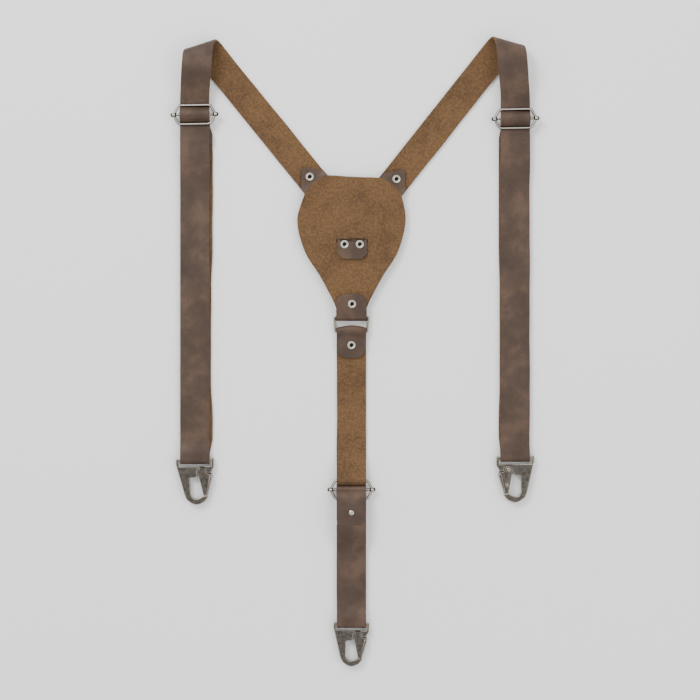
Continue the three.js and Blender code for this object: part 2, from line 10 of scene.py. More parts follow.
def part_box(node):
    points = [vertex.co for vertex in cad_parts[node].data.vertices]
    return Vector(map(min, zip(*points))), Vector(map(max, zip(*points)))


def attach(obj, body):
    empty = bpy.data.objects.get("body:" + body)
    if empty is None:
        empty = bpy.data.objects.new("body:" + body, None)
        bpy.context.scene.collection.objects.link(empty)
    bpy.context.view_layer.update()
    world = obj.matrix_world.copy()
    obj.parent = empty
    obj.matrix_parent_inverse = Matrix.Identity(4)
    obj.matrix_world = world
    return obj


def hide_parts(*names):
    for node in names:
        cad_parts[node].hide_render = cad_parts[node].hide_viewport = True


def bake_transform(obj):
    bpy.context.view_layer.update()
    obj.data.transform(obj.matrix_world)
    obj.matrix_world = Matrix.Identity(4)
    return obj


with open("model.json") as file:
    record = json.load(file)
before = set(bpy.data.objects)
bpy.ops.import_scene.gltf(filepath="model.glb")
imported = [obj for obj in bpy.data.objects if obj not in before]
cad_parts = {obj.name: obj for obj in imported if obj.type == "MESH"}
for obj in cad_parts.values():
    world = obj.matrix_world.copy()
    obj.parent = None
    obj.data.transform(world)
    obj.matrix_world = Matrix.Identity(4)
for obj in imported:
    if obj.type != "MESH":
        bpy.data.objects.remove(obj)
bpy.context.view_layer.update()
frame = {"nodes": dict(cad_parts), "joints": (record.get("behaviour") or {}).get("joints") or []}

bl_info = {
    "name": "Leather suspenders",
    "version": (1, 0, 0),
    "blender": (4, 5, 0),
    "location": "3D View > Sidebar > Suspenders",
    "description": "Builds Y-back leather suspenders with a suede lining and pewter snap hooks",
    "category": "Object",
}

FRONT_SIDES = ("left", "right")
HOOK_SIDES = ("left", "right", "rear")


def joint_point(name):
    """A point on a hinge's axis."""
    joint = next(entry for entry in frame["joints"] if entry["name"] == name)
    return Vector(joint["pos_m"])


def middle(node):
    """The middle of a CAD node's box."""
    low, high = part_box(node)
    return (Vector(low) + Vector(high)) / 2


def node_height(node):
    """(lowest, highest) of a CAD node."""
    low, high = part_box(node)
    return low[2], high[2]


# ---------------------------------------------------------------- sizes and colours
def distance(name, description, default):
    return FloatProperty(name=name, description=description, default=default, unit="LENGTH")


def tint(name, description, default):
    return FloatVectorProperty(name=name, description=description, default=default, subtype="COLOR",
                               size=3, min=0, max=1)


class SuspenderSizes(bpy.types.PropertyGroup):
    leather: distance("Leather", "Thickness of each leather layer", 0.0018)
    gap: distance("Gap", "Space between pieces that touch", 0.00035)
    strap_width: distance("Strap width", "Width of every strap", 0.0254)
    table_gap: distance("Rivet stand", "Height of the lowest leather above the table", 0.0006)
    roll_radius: distance("Shoulder roll", "Radius of the roll at the shoulder", 0.008)
    adjuster_pitch: distance("Adjuster pitch", "Between the adjuster's outer bars", 0.0162)
    wire: distance("Adjuster wire", "Diameter of the adjuster's wire", 0.0022)
    ring_wire: distance("Ring wire", "Diameter of the D-ring's wire", 0.0026)
    ring_depth: distance("Ring depth", "From the D-ring's bar to its arc", 0.013)
    ring_bow: distance("Ring bow", "Rise of the D-ring's arc over half the strap", 0.002)
    hook_bar: distance("Hook bar", "Thickness of the hook's strap bar", 0.0024)
    tail_fold: distance("Tail fold", "Free end beyond the adjuster's middle bar", 0.026)


class SuspenderColours(bpy.types.PropertyGroup):
    grain: tint("Grain", "Smooth side of the leather", (0.060, 0.036, 0.024))
    grain_worn: tint("Grain, worn", "Rubbed patches of the smooth side", (0.115, 0.066, 0.041))
    suede: tint("Suede", "Flesh side of the leather", (0.146, 0.080, 0.036))
    suede_dark: tint("Suede, dark", "Nap brushed flat", (0.080, 0.045, 0.023))
    edge: tint("Cut edge", "Raw edge of the leather", (0.15, 0.078, 0.034))
    pewter: tint("Pewter", "Metal of the hooks", (0.115, 0.103, 0.088))
    nickel: tint("Nickel", "Metal of the rivets and adjusters", (0.135, 0.125, 0.11))
    floor: tint("Floor", "Pale table", (0.93, 0.93, 0.925))


def sizes():
    return bpy.context.scene.suspender_sizes


def colours():
    return bpy.context.scene.suspender_colours


# ---------------------------------------------------------------- levels, as the layers lie
def sheet():
    return sizes().leather + sizes().gap


def layer(number):
    """Middle of a layer of leather above the table."""
    return sizes().table_gap + sizes().leather / 2 + number * sheet()


def bar_turn(thickness):
    """Middle of a layer wrapped round a bar."""
    return thickness / 2 + sizes().gap + sizes().leather / 2


def smooth(value):
    value = min(max(value, 0.0), 1.0)
    return value * value * (3 - 2 * value)


# ---------------------------------------------------------------- leather strips
STEP = 0.0018  # between the stations of a straight stretch
NEAREST = 0.00008  # stations never come closer than this
COLUMNS = 10  # across a strip
GRAIN_SUEDE = ("leather_grain", "leather_suede", "leather_edge")
SOFT_EDGE = 0.00035  # rounding of a cut edge
WANDER = 0.00025  # how far a strip's edges and surface stray


class Route:
    """The side view of a strip: stations of (u along it, w up, half width)."""

    def __init__(self, u, w, half=None):
        self.half = sizes().strap_width / 2 if half is None else half
        self.stations = [(u, w, self.half)]

    def add(self, u, w, half=None):
        """Adds a station, unless it repeats the last one."""
        last_u, last_w, _ = self.stations[-1]
        if math.hypot(u - last_u, w - last_w) > NEAREST:
            self.stations.append((u, w, self.half if half is None else half))
        return self

    def stretch(self, u, w, ease):
        u0, w0, _ = self.stations[-1]
        count = max(1, round(math.hypot(u - u0, w - w0) / STEP))
        for i in range(1, count + 1):
            self.add(u0 + (u - u0) * i / count, w0 + (w - w0) * ease(i / count))
        return self

    def line(self, u, w):
        return self.stretch(u, w, lambda share: share)

    def ramp(self, u, w):
        return self.stretch(u, w, smooth)

    def arc(self, centre_u, centre_w, radius, start, end):
        count = max(3, round(abs(end - start) / 9))
        for i in range(count + 1):
            angle = math.radians(start + (end - start) * i / count)
            self.add(centre_u + radius * math.cos(angle), centre_w + radius * math.sin(angle))
        return self

    def point(self, u, tip_half, corner_half):
        """A pointed end with a blunt tip."""
        u0, w, _ = self.stations[-1]
        count = 8
        for i in range(1, count + 1):
            self.add(u0 + (u - u0) * i / count, w, corner_half + (tip_half - corner_half) * i / count)
        return self

    def round_end(self, u, share=0.86):
        """A rounded end that reaches to u."""
        u0, w, _ = self.stations[-1]
        count = 12
        for i in range(1, count + 1):
            angle = math.pi / 2 * share * i / count
            self.add(u0 + (u - u0) * math.sin(angle) / math.sin(math.pi / 2 * share), w,
                     self.half * math.cos(angle) ** 0.7)
        return self

    def normals(self):
        last = len(self.stations) - 1
        found = []
        for i in range(last + 1):
            u0, w0, _ = self.stations[max(i - 1, 0)]
            u1, w1, _ = self.stations[min(i + 1, last)]
            length = math.hypot(u1 - u0, w1 - w0) or 1.0
            found.append((-(w1 - w0) / length, (u1 - u0) / length))
        return found

    def lengths(self):
        total = [0.0]
        for (u0, w0, _), (u1, w1, _) in zip(self.stations, self.stations[1:]):
            total.append(total[-1] + math.hypot(u1 - u0, w1 - w0))
        return total


def new_object(name, mesh, material_names):
    """Turns a bmesh into an object with named materials."""
    data = bpy.data.meshes.new(name)
    mesh.to_mesh(data)
    mesh.free()
    for material_name in material_names:
        data.materials.append(bpy.data.materials[material_name])
    data.polygons.foreach_set("use_smooth", [True] * len(data.polygons))
    piece = bpy.data.objects.new(name, data)
    bpy.context.scene.collection.objects.link(piece)
    return piece


def thicken(piece):
    """Gives a leather sheet its thickness, with its flesh side below and softened cut edges."""
    solidify = piece.modifiers.new("thickness", "SOLIDIFY")
    solidify.thickness = sizes().leather
    solidify.offset = 0
    solidify.use_even_offset = True
    solidify.material_offset = 1
    solidify.material_offset_rim = 2
    bevel = piece.modifiers.new("soft edge", "BEVEL")
    bevel.width = SOFT_EDGE
    bevel.segments = 3
    bevel.limit_method = "ANGLE"
    bevel.angle_limit = math.radians(50)
    bevel.harden_normals = True
    return piece


def grid_mesh(columns, rows, locate):
    """A grid put in place by locate(column share, row share), which gives each point and its UV."""
    mesh = bmesh.new()
    bmesh.ops.create_grid(mesh, x_segments=columns, y_segments=rows, size=1)
    layer_uv = mesh.loops.layers.uv.new("leather")
    places = {vert: locate((vert.co.x + 1) / 2, (vert.co.y + 1) / 2) for vert in mesh.verts}
    for face in mesh.faces:
        for loop in face.loops:
            loop[layer_uv].uv = places[loop.vert][1]
    for vert, (point, _) in places.items():
        vert.co = point
    return mesh


def strip(name, route, place, sideways=None):
    """A strip of leather along a route. place turns (u, v across, w) into a point of the object, and
    sideways says how far a point (u, w) of the route lies out of line."""
    rows = len(route.stations) - 1
    normals = route.normals()
    lengths = route.lengths()

    def locate(column, row):
        index = min(round(row * rows), rows)
        u, w, half = route.stations[index]
        length = lengths[index]
        drift = WANDER * (math.sin(length * 61) + 0.6 * math.sin(length * 143 + 1.7)) / 1.6
        v = (2 * column - 1) * half * (1 + drift / sizes().strap_width) + drift * 0.4
        lift = WANDER * 0.5 * math.sin(length * 95 + 3 * column)
        nu, nw = normals[index]
        aside = sideways(u, w) if sideways else 0
        return place(u + lift * nu, v + aside, w + lift * nw), (length, v)

    mesh = grid_mesh(COLUMNS, rows, locate)
    return thicken(new_object(name, mesh, GRAIN_SUEDE))


# ---------------------------------------------------------------- the lie of the straps
LOOP_OPEN = 0.004  # from a hook's bar to where the loop begins to close
LOOP_CLOSED = 0.016  # to where the tail lies flat again
RUN_DOWN = 0.018  # to where the run lies on the tail
TAIL_OVERLAP = 0.004  # of the free end and the strap that carries on from it
LEG_STRAIGHT = 0.003  # of the free end below the adjuster's lower bar
TAIL_SETTLE = 0.030  # from the free end's start to where the tail lies flat
TAIL_LIFT = 0.008  # from there to where the run leaves the tail


class Adjuster:
    """Where a strap's adjuster lies, and the angles at which leather leaves its bars."""

    def __init__(self, side):
        centre = middle(f"{side}_adjuster_frame")
        self.x = centre.x
        self.u = centre.y
        self.w = centre.z
        self.reach = sizes().adjuster_pitch / 2
        self.turn = bar_turn(sizes().wire)
        self.over = self.turn + sheet()
        self.weave = math.degrees(math.asin((self.turn + self.over) / self.reach))
        self.tail = math.degrees(math.asin((self.over + sheet() - self.turn) / self.reach))
        self.low_u = self.u - self.reach
        self.high_u = self.u + self.reach

    def turned_over(self, flip):
        """The same adjuster as a strap that lies face down sees it."""
        self.w = flip - self.w
        return self


def fold_end(adjuster):
    """The free end, round the middle bar, as far as the tail below the adjuster."""
    leg = adjuster.w - adjuster.over
    route = Route(adjuster.u - sizes().tail_fold, leg)
    route.line(adjuster.low_u - LEG_STRAIGHT, leg)
    route.arc(adjuster.low_u, adjuster.w, adjuster.over, -90, -90 + adjuster.weave)
    route.arc(adjuster.u, adjuster.w, adjuster.turn, 90 + adjuster.weave, -90 - adjuster.tail)
    route.arc(adjuster.low_u, adjuster.w, adjuster.over + sheet(), -88 + adjuster.tail, -90)
    return route.line(adjuster.u - sizes().tail_fold - TAIL_OVERLAP, leg - sheet())


def hook_loop(adjuster, hook):
    """From the tail below the adjuster, round the hook's bar, and back over the tail."""
    fold_u = adjuster.u - sizes().tail_fold
    flat_u = fold_u - TAIL_SETTLE
    turn = bar_turn(sizes().hook_bar)
    route = Route(fold_u - TAIL_OVERLAP, adjuster.w - adjuster.over - sheet())
    route.ramp(flat_u, layer(0))
    route.line(hook.y + LOOP_CLOSED, layer(0))
    route.ramp(hook.y + LOOP_OPEN, hook.z - turn)
    route.arc(hook.y, hook.z, turn, -90, -270)
    route.line(hook.y + LOOP_OPEN, hook.z + turn)
    route.ramp(hook.y + RUN_DOWN, layer(1))
    return route.line(flat_u - TAIL_LIFT, layer(1))


# Lean of the front run, heading of the shoulder run, where they cross, the ear's rivet past that, and how far
# the tail lies out of line.
SHOULDERS = {
    "left": {"mirror": 1, "lean": 4.6, "heading": 39.0, "cross": (-0.13445, 0.2690), "ear": 0.1515,
             "tail": 0.0026},
    "right": {"mirror": -1, "lean": 6.0, "heading": 38.4, "cross": (-0.13315, 0.2719), "ear": 0.1565,
              "tail": -0.0013},
}
BEND_REACH = 0.005  # of the slight bend where a front run begins to lean
EAR_EDGE = 0.0084  # from an ear's rivet to the patch's edge
CORNER_BAR = 0.011  # of the patch, inside its edge
EAR_TIP = 0.010  # from an ear's rivet to its point
EAR_TAPER = 0.0125  # length of the point
EAR_TIP_HALF = 0.0012
EAR_CORNER_HALF = 0.0118
EAR_FLAT = 0.0040  # from an ear's rivet to where the ear has come down from the patch
SHOULDER_LEVEL = 0.022  # from the roll to where the front run has risen to it


class Shoulder:
    """The lie of a front strap. It is worked out for the left strap, and the right strap mirrors it."""

    def __init__(self, side):
        facts = SHOULDERS[side]
        self.mirror = facts["mirror"]
        self.front_x = abs(middle(f"{side}_adjuster_frame").x)
        self.lean = math.radians(facts["lean"])
        cross_x, cross_y = facts["cross"]
        self.bend_radius = BEND_REACH / math.tan(self.lean / 2)
        bend_y = cross_y - (self.front_x + cross_x) / math.tan(self.lean)
        self.bend_start = bend_y - BEND_REACH
        self.bend_length = self.bend_radius * self.lean
        beyond_bend = (cross_y - bend_y) / math.cos(self.lean) - BEND_REACH
        self.cross_u = self.bend_start + self.bend_length + beyond_bend
        fold = math.radians((facts["heading"] - facts["lean"]) / 2)
        self.normal = Vector((-math.sin(fold), math.cos(fold)))
        self.radius = sizes().roll_radius
        self.top = layer(0) + 2 * self.radius
        self.fold_start = Vector((cross_x, cross_y)).dot(self.normal) - math.pi / 2 * self.radius
        self.ear_u = self.cross_u + facts["ear"]

    def place(self, u, v, w):
        turned = min(max((u - self.bend_start) / self.bend_radius, 0), self.lean)
        beyond = max(0, u - self.bend_start - self.bend_length)
        x = -self.front_x + self.bend_radius * (1 - math.cos(turned)) + beyond * math.sin(self.lean)
        y = min(u, self.bend_start) + self.bend_radius * math.sin(turned) + beyond * math.cos(self.lean)
        flat = Vector((x + self.mirror * v * math.cos(turned), y - self.mirror * v * math.sin(turned)))
        past = flat.dot(self.normal) - self.fold_start
        angle = min(max(past / self.radius, 0), math.pi)
        height = w - self.top
        z = w
        if angle > 0:
            rolled = (self.radius + height) * math.sin(angle)
            straight = (past - angle * self.radius) * math.cos(angle)
            flat += self.normal * (rolled + straight - past)
            z = self.top - self.radius + (self.radius + height) * math.cos(angle)
        return Vector((self.mirror * flat.x, flat.y, z))

    def rolled(self, number):
        """A layer's height in the route, past the roll."""
        return self.top - number * sheet()

    def ear_point(self, past, inwards):
        return self.place(self.ear_u + past, self.mirror * inwards, self.top)


def front_run_route(side, shoulder, adjuster):
    """From the tail below the adjuster, round the hook, up to the shoulder, over it and to the ear."""
    passing = adjuster.w - adjuster.turn
    bar_u = shoulder.ear_u + EAR_EDGE + CORNER_BAR
    route = hook_loop(adjuster, joint_point(f"{side}_hook_swing"))
    route.ramp(adjuster.u - sizes().tail_fold - TAIL_OVERLAP, passing)
    route.line(adjuster.high_u, passing)
    route.ramp(shoulder.cross_u - SHOULDER_LEVEL, shoulder.top)
    route.line(bar_u - 0.001, shoulder.top)
    route.arc(bar_u, shoulder.rolled(1), sheet(), 90, -90)
    route.line(shoulder.ear_u + EAR_EDGE - sizes().gap, shoulder.rolled(2))
    route.ramp(shoulder.ear_u + EAR_FLAT, shoulder.rolled(1))
    route.line(shoulder.ear_u - EAR_TIP + EAR_TAPER, shoulder.rolled(1))
    return route.point(shoulder.ear_u - EAR_TIP, EAR_TIP_HALF, EAR_CORNER_HALF)


TAIL_SHOWS_ABOVE = 0.055  # heights beyond which a tail lies furthest out of line
TAIL_SHOWS_BELOW = -0.03
FOLD_DRIFT = 0.010  # length over which a free end drifts out of line
WEAVE_TUCK = 0.0012  # of the weave's ends past the adjuster's outer bars


def tail_aside(side):
    """The tail under a front run lies a little out of line, most near its two ends."""
    amount = SHOULDERS[side]["tail"]
    hook_y = joint_point(f"{side}_hook_swing").y

    def aside(u, w):
        below = smooth((layer(0) + sheet() / 2 - w) / (sheet() / 2))
        upper = smooth((u - TAIL_SHOWS_ABOVE) / 0.035)
        lower = smooth((TAIL_SHOWS_BELOW - u) / 0.03)
        ends = 0.45 + 0.55 * (upper + lower)
        return amount * below * ends * smooth((u - hook_y - LOOP_OPEN) / LOOP_CLOSED)

    return aside


def fold_aside(side, adjuster):
    """The free end follows the tail's line once it has left the adjuster."""
    amount = SHOULDERS[side]["tail"]
    return lambda u, w: amount * smooth((adjuster.low_u - u) / FOLD_DRIFT)


def weave_route(adjuster):
    """Under the lower bar, over the leather on the middle bar, and under the upper bar."""
    passing = adjuster.w - adjuster.turn
    route = Route(adjuster.low_u - WEAVE_TUCK, passing)
    route.arc(adjuster.low_u, adjuster.w, adjuster.turn, -90, -90 + adjuster.weave)
    route.arc(adjuster.u, adjuster.w, adjuster.over, 90 + adjuster.weave, 90 - adjuster.weave)
    route.arc(adjuster.high_u, adjuster.w, adjuster.turn, -90 - adjuster.weave, -90)
    return route.line(adjuster.high_u + WEAVE_TUCK, passing)


# ---------------------------------------------------------------- shader helpers
class Nodes:
    """A short way to write a node tree."""

    def __init__(self, tree):
        self.tree = tree

    def add(self, kind, settings=None, inputs=None):
        node = self.tree.nodes.new(kind)
        for key, value in (settings or {}).items():
            setattr(node, key, value)
        for key, value in (inputs or {}).items():
            self.feed(node.inputs[key], value)
        return node

    def feed(self, socket, value):
        if isinstance(value, bpy.types.NodeSocket):
            self.tree.links.new(value, socket)
        else:
            socket.default_value = value

    def noise(self, vector, scale, detail=4, roughness=0.55):
        node = self.add("ShaderNodeTexNoise", {"noise_dimensions": "3D"},
                        {"Vector": vector, "Scale": scale, "Detail": detail, "Roughness": roughness})
        return node.outputs["Fac"]

    def cells(self, vector, scale):
        """The distance to the borders of small cells."""
        node = self.add("ShaderNodeTexVoronoi", {"feature": "DISTANCE_TO_EDGE"}, {
            "Vector": vector, "Scale": scale})
        return node.outputs["Distance"]

    def span(self, value, low, high, to_low=0.0, to_high=1.0, smoothed=True):
        kind = "SMOOTHSTEP" if smoothed else "LINEAR"
        node = self.add("ShaderNodeMapRange", {"interpolation_type": kind}, {
            "Value": value, "From Min": low, "From Max": high, "To Min": to_low, "To Max": to_high})
        return node.outputs["Result"]

    def math(self, operation, first, second=0.0):
        node = self.add("ShaderNodeMath", {"operation": operation})
        self.feed(node.inputs[0], first)
        self.feed(node.inputs[1], second)
        return node.outputs[0]

    def mix(self, share, first, second, blend="MIX"):
        node = self.add("ShaderNodeMix", {"data_type": "RGBA", "blend_type": blend})
        self.feed(node.inputs["Factor"], share)
        self.feed(node.inputs[6], first)
        self.feed(node.inputs[7], second)
        return node.outputs[2]

    def shade(self, colour, grey):
        """The colour, lighter or darker by a grey factor."""
        factor = self.add("ShaderNodeCombineColor", inputs={"Red": grey, "Green": grey, "Blue": grey})
        return self.mix(1.0, colour, factor.outputs["Color"], "MULTIPLY")

    def place(self):
        """The point's own place on the object, in metres."""
        return self.add("ShaderNodeTexCoord").outputs["Object"]

    def stretch(self, vector, scale):
        node = self.add("ShaderNodeMapping", inputs={"Vector": vector, "Scale": scale})
        return node.outputs["Vector"]


def rgba(colour):
    return (*colour, 1.0)


def group_tree(name, inputs, outputs):
    """A new shader node group with named sockets; inputs are name: (socket kind, default)."""
    tree = bpy.data.node_groups.new(name, "ShaderNodeTree")
    for socket_name, (kind, default) in inputs.items():
        socket = tree.interface.new_socket(socket_name, in_out="INPUT", socket_type=kind)
        if default is not None:
            socket.default_value = default
    for socket_name, kind in outputs.items():
        tree.interface.new_socket(socket_name, in_out="OUTPUT", socket_type=kind)
    nodes = Nodes(tree)
    entry = nodes.add("NodeGroupInput")
    leave = nodes.add("NodeGroupOutput")
    return tree, nodes, entry.outputs, leave.inputs


FLOAT = "NodeSocketFloat"
COLOR = "NodeSocketColor"
VECTOR = "NodeSocketVector"


def grain_group():
    """The smooth side: pores and fine creases, cloudy oil patches and rubbed spots."""
    tree, nodes, given, out = group_tree(
        "smooth_leather",
        {"Vector": (VECTOR, None), "Colour": (COLOR, None), "Worn": (COLOR, None), "Wear": (FLOAT, 0.36)},
        {"Colour": COLOR, "Roughness": FLOAT, "Height": FLOAT},
    )
    vector = given["Vector"]
    clouds = nodes.noise(vector, 38, 5, 0.62)
    fine = nodes.noise(vector, 900, 3, 0.6)
    pores = nodes.span(nodes.cells(vector, 1150), 0.0, 0.22)
    creases = nodes.noise(nodes.stretch(vector, (60, 420, 60)), 2.2, 5, 0.7)
    scuffs = nodes.span(nodes.noise(nodes.stretch(vector, (1, 0.45, 1)), 105, 6, 0.72), 0.56, 0.70)
    worn = nodes.math("MULTIPLY", nodes.span(clouds, 0.44, 0.70), given["Wear"])
    colour = nodes.mix(worn, given["Colour"], given["Worn"])
    colour = nodes.mix(nodes.math("MULTIPLY", scuffs, 0.35), colour, given["Worn"])
    colour = nodes.shade(colour, nodes.span(clouds, 0.25, 0.62, 0.62, 1.12, False))
    colour = nodes.shade(colour, nodes.span(fine, 0.3, 0.75, 0.86, 1.14, False))
    nodes.feed(out["Colour"], colour)
    nodes.feed(out["Roughness"], nodes.span(clouds, 0.3, 0.7, 0.60, 0.46, False))
    height = nodes.math("ADD", nodes.math("MULTIPLY", pores, 0.5), nodes.math("MULTIPLY", creases, 0.5))
    height = nodes.math("ADD", height, nodes.math("MULTIPLY", fine, 0.35))
    nodes.feed(out["Height"], height)
    return tree


def suede_group():
    """The flesh side: a short nap with specks, brushed streaks and a few dark scratches."""
    tree, nodes, given, out = group_tree(
        "suede_nap",
        {"Vector": (VECTOR, None), "Colour": (COLOR, None), "Dark": (COLOR, None)},
        {"Colour": COLOR, "Height": FLOAT},
    )
    vector = given["Vector"]
    clouds = nodes.noise(vector, 55, 6, 0.66)
    mottle = nodes.noise(vector, 420, 6, 0.75)
    fibre = nodes.noise(nodes.stretch(vector, (0.6, 1.4, 1)), 1300, 4, 0.75)
    gold = nodes.span(nodes.noise(vector, 700, 6, 0.8), 0.54, 0.68)
    scratch = nodes.noise(nodes.stretch(vector, (0.30, 1.9, 1)), 150, 4, 0.65)
    streak = nodes.span(nodes.math("ABSOLUTE", nodes.math("SUBTRACT", scratch, 0.5)), 0.0, 0.016, 1.0, 0.0)
    streak = nodes.math("MULTIPLY", streak, nodes.span(clouds, 0.50, 0.62))
    broad = nodes.noise(vector, 24, 8, 0.78)
    dark = nodes.math("MULTIPLY", nodes.span(mottle, 0.58, 0.43), 0.60)
    dark = nodes.math("ADD", dark, nodes.math("MULTIPLY", nodes.span(broad, 0.56, 0.40), 0.52))
    dark = nodes.math("MAXIMUM", dark, nodes.math("MULTIPLY", streak, 0.8))
    colour = nodes.mix(nodes.math("MINIMUM", dark, 1.0), given["Colour"], given["Dark"])
    light = tuple(channel * 1.9 for channel in colours().suede)
    gilding = nodes.math("MULTIPLY", gold, nodes.span(clouds, 0.38, 0.64, 0.05, 0.55))
    colour = nodes.mix(gilding, colour, rgba(light))
    colour = nodes.shade(colour, nodes.span(fibre, 0.28, 0.72, 0.62, 1.36, False))
    nodes.feed(out["Colour"], colour)
    height = nodes.math("ADD", nodes.math("MULTIPLY", fibre, 0.8), nodes.math("MULTIPLY", mottle, 0.6))
    nodes.feed(out["Height"], nodes.math("SUBTRACT", height, nodes.math("MULTIPLY", streak, 0.4)))
    return tree


def tarnish_group():
    """Aged metal: dark in pits and patches, bright where it is rubbed."""
    tree, nodes, given, out = group_tree(
        "tarnish",
        {"Vector": (VECTOR, None), "Bright": (COLOR, None), "Dark": (COLOR, None), "Amount": (FLOAT, 0.5)},
        {"Colour": COLOR, "Roughness": FLOAT, "Height": FLOAT},
    )
    vector = given["Vector"]
    patches = nodes.noise(vector, 340, 6, 0.68)
    pits = nodes.noise(vector, 1300, 4, 0.6)
    brushed = nodes.noise(nodes.stretch(vector, (1, 5, 1)), 900, 3, 0.6)
    dark = nodes.math("MULTIPLY", nodes.span(patches, 0.40, 0.66), given["Amount"])
    dark = nodes.math("MAXIMUM", dark, nodes.math("MULTIPLY", nodes.span(pits, 0.60, 0.74), 0.7))
    nodes.feed(out["Colour"], nodes.mix(dark, given["Bright"], given["Dark"]))
    rough = nodes.math("ADD", nodes.span(patches, 0.3, 0.7, 0.26, 0.50, False),
                       nodes.math("MULTIPLY", brushed, 0.10))
    nodes.feed(out["Roughness"], rough)
    nodes.feed(out["Height"], nodes.math("ADD", pits, nodes.math("MULTIPLY", patches, 0.8)))
    return tree


def material(name):
    """A new node material: its nodes and its Principled shader."""
    made = bpy.data.materials.new(name)
    made.use_nodes = True
    nodes = Nodes(made.node_tree)
    shader = made.node_tree.nodes["Principled BSDF"]
    return nodes, shader


def bump(nodes, shader, height, strength, distance):
    node = nodes.add("ShaderNodeBump", inputs={"Height": height, "Strength": strength, "Distance": distance})
    nodes.feed(shader.inputs["Normal"], node.outputs["Normal"])


def leather_vector(nodes):
    """The leather's own coordinates, in metres along and across each strip."""
    return nodes.add("ShaderNodeUVMap", {"uv_map": "leather"}).outputs["UV"]


def grain_material():
    nodes, shader = material("leather_grain")
    group = nodes.add("ShaderNodeGroup", {"node_tree": grain_group()}, {
        "Vector": leather_vector(nodes), "Colour": rgba(colours().grain), "Worn": rgba(colours().grain_worn)})
    nodes.feed(shader.inputs["Base Color"], group.outputs["Colour"])
    nodes.feed(shader.inputs["Roughness"], group.outputs["Roughness"])
    shader.inputs["Specular IOR Level"].default_value = 0.28
    bump(nodes, shader, group.outputs["Height"], 0.30, 0.00025)


def suede_material():
    nodes, shader = material("leather_suede")
    group = nodes.add("ShaderNodeGroup", {"node_tree": suede_group()}, {
        "Vector": leather_vector(nodes), "Colour": rgba(colours().suede), "Dark": rgba(colours().suede_dark)})
    nodes.feed(shader.inputs["Base Color"], group.outputs["Colour"])
    shader.inputs["Roughness"].default_value = 0.94
    shader.inputs["Specular IOR Level"].default_value = 0.15
    shader.inputs["Sheen Weight"].default_value = 0.12
    shader.inputs["Sheen Roughness"].default_value = 0.5
    shader.inputs["Sheen Tint"].default_value = rgba((0.95, 0.80, 0.62))
    bump(nodes, shader, group.outputs["Height"], 0.55, 0.0004)


def edge_material():
    """The raw cut edge, with fibres along it and darker patches."""
    nodes, shader = material("leather_edge")
    vector = nodes.place()
    fibre = nodes.noise(vector, 1900, 5, 0.7)
    patches = nodes.noise(vector, 140, 4, 0.6)
    dark = tuple(channel * 0.34 for channel in colours().edge)
    colour = nodes.mix(nodes.span(patches, 0.36, 0.62), rgba(dark), rgba(colours().edge))
    colour = nodes.mix(nodes.span(fibre, 0.42, 0.62, 0.0, 0.6), colour, rgba(dark))
    nodes.feed(shader.inputs["Base Color"], colour)
    shader.inputs["Roughness"].default_value = 0.82
    bump(nodes, shader, fibre, 0.4, 0.0002)


def metal_material(name, bright, tarnish_and_shade_share, amount, strength, painted_side_shade, rub_and_highlight_from, rub_and_highlight_to):
    """Metal with painted shade on its upright sides, and with a painted highlight, partly standing for a rub,
    where it faces neither up nor sideways. Each pair is of how far up a face looks, from 0 on an upright side
    to 1 on a level one."""
    nodes, shader = material(name)
    vector = nodes.place()
    # The dark colour serves both the tarnish in pits and patches and the painted shade on upright sides.
    dark = tuple(channel * tarnish_and_shade_share for channel in bright)
    group = nodes.add("ShaderNodeGroup", {"node_tree": bpy.data.node_groups["tarnish"]}, {
        "Vector": vector, "Bright": rgba(bright), "Dark": rgba(dark), "Amount": amount})
    facing = nodes.add("ShaderNodeSeparateXYZ", inputs={
        "Vector": nodes.add("ShaderNodeTexCoord").outputs["Normal"]}).outputs["Z"]
    flat = nodes.math("ABSOLUTE", facing)
    # Painted highlight, partly standing for rubbed wear: a bright colour on faces that look up by the amounts
    # given.
    rubbed = nodes.math("MULTIPLY", nodes.span(flat, *rub_and_highlight_from), nodes.span(flat, *rub_and_highlight_to, 1.0, 0.0))
    rub_and_highlight_colour = tuple(min(channel * 3.6, 0.75) for channel in bright)
    # Painted shade: faces that stand upright get the dark colour, as though turned from the light.
    colour = nodes.mix(nodes.span(flat, *painted_side_shade, 0.85, 0.0), group.outputs["Colour"], rgba(dark))
    nodes.feed(shader.inputs["Base Color"], nodes.mix(rubbed, colour, rgba(rub_and_highlight_colour)))
    nodes.feed(shader.inputs["Roughness"], group.outputs["Roughness"])
    shader.inputs["Metallic"].default_value = 1.0
    bump(nodes, shader, group.outputs["Height"], strength, 0.0002)


def bore_material():
    """Painted shadow for the inside of a tubular rivet: a dull, near-black colour where there is only shade.
    """
    nodes, shader = material("painted_bore_shadow")
    vector = nodes.place()
    shadow_tone = nodes.noise(vector, 900, 3)
    # Painted shadow, a little uneven from place to place.
    colour = nodes.mix(shadow_tone, rgba((0.006, 0.005, 0.004)), rgba((0.020, 0.015, 0.011)))
    nodes.feed(shader.inputs["Base Color"], colour)
    shader.inputs["Roughness"].default_value = 0.95
    shader.inputs["Specular IOR Level"].default_value = 0.05


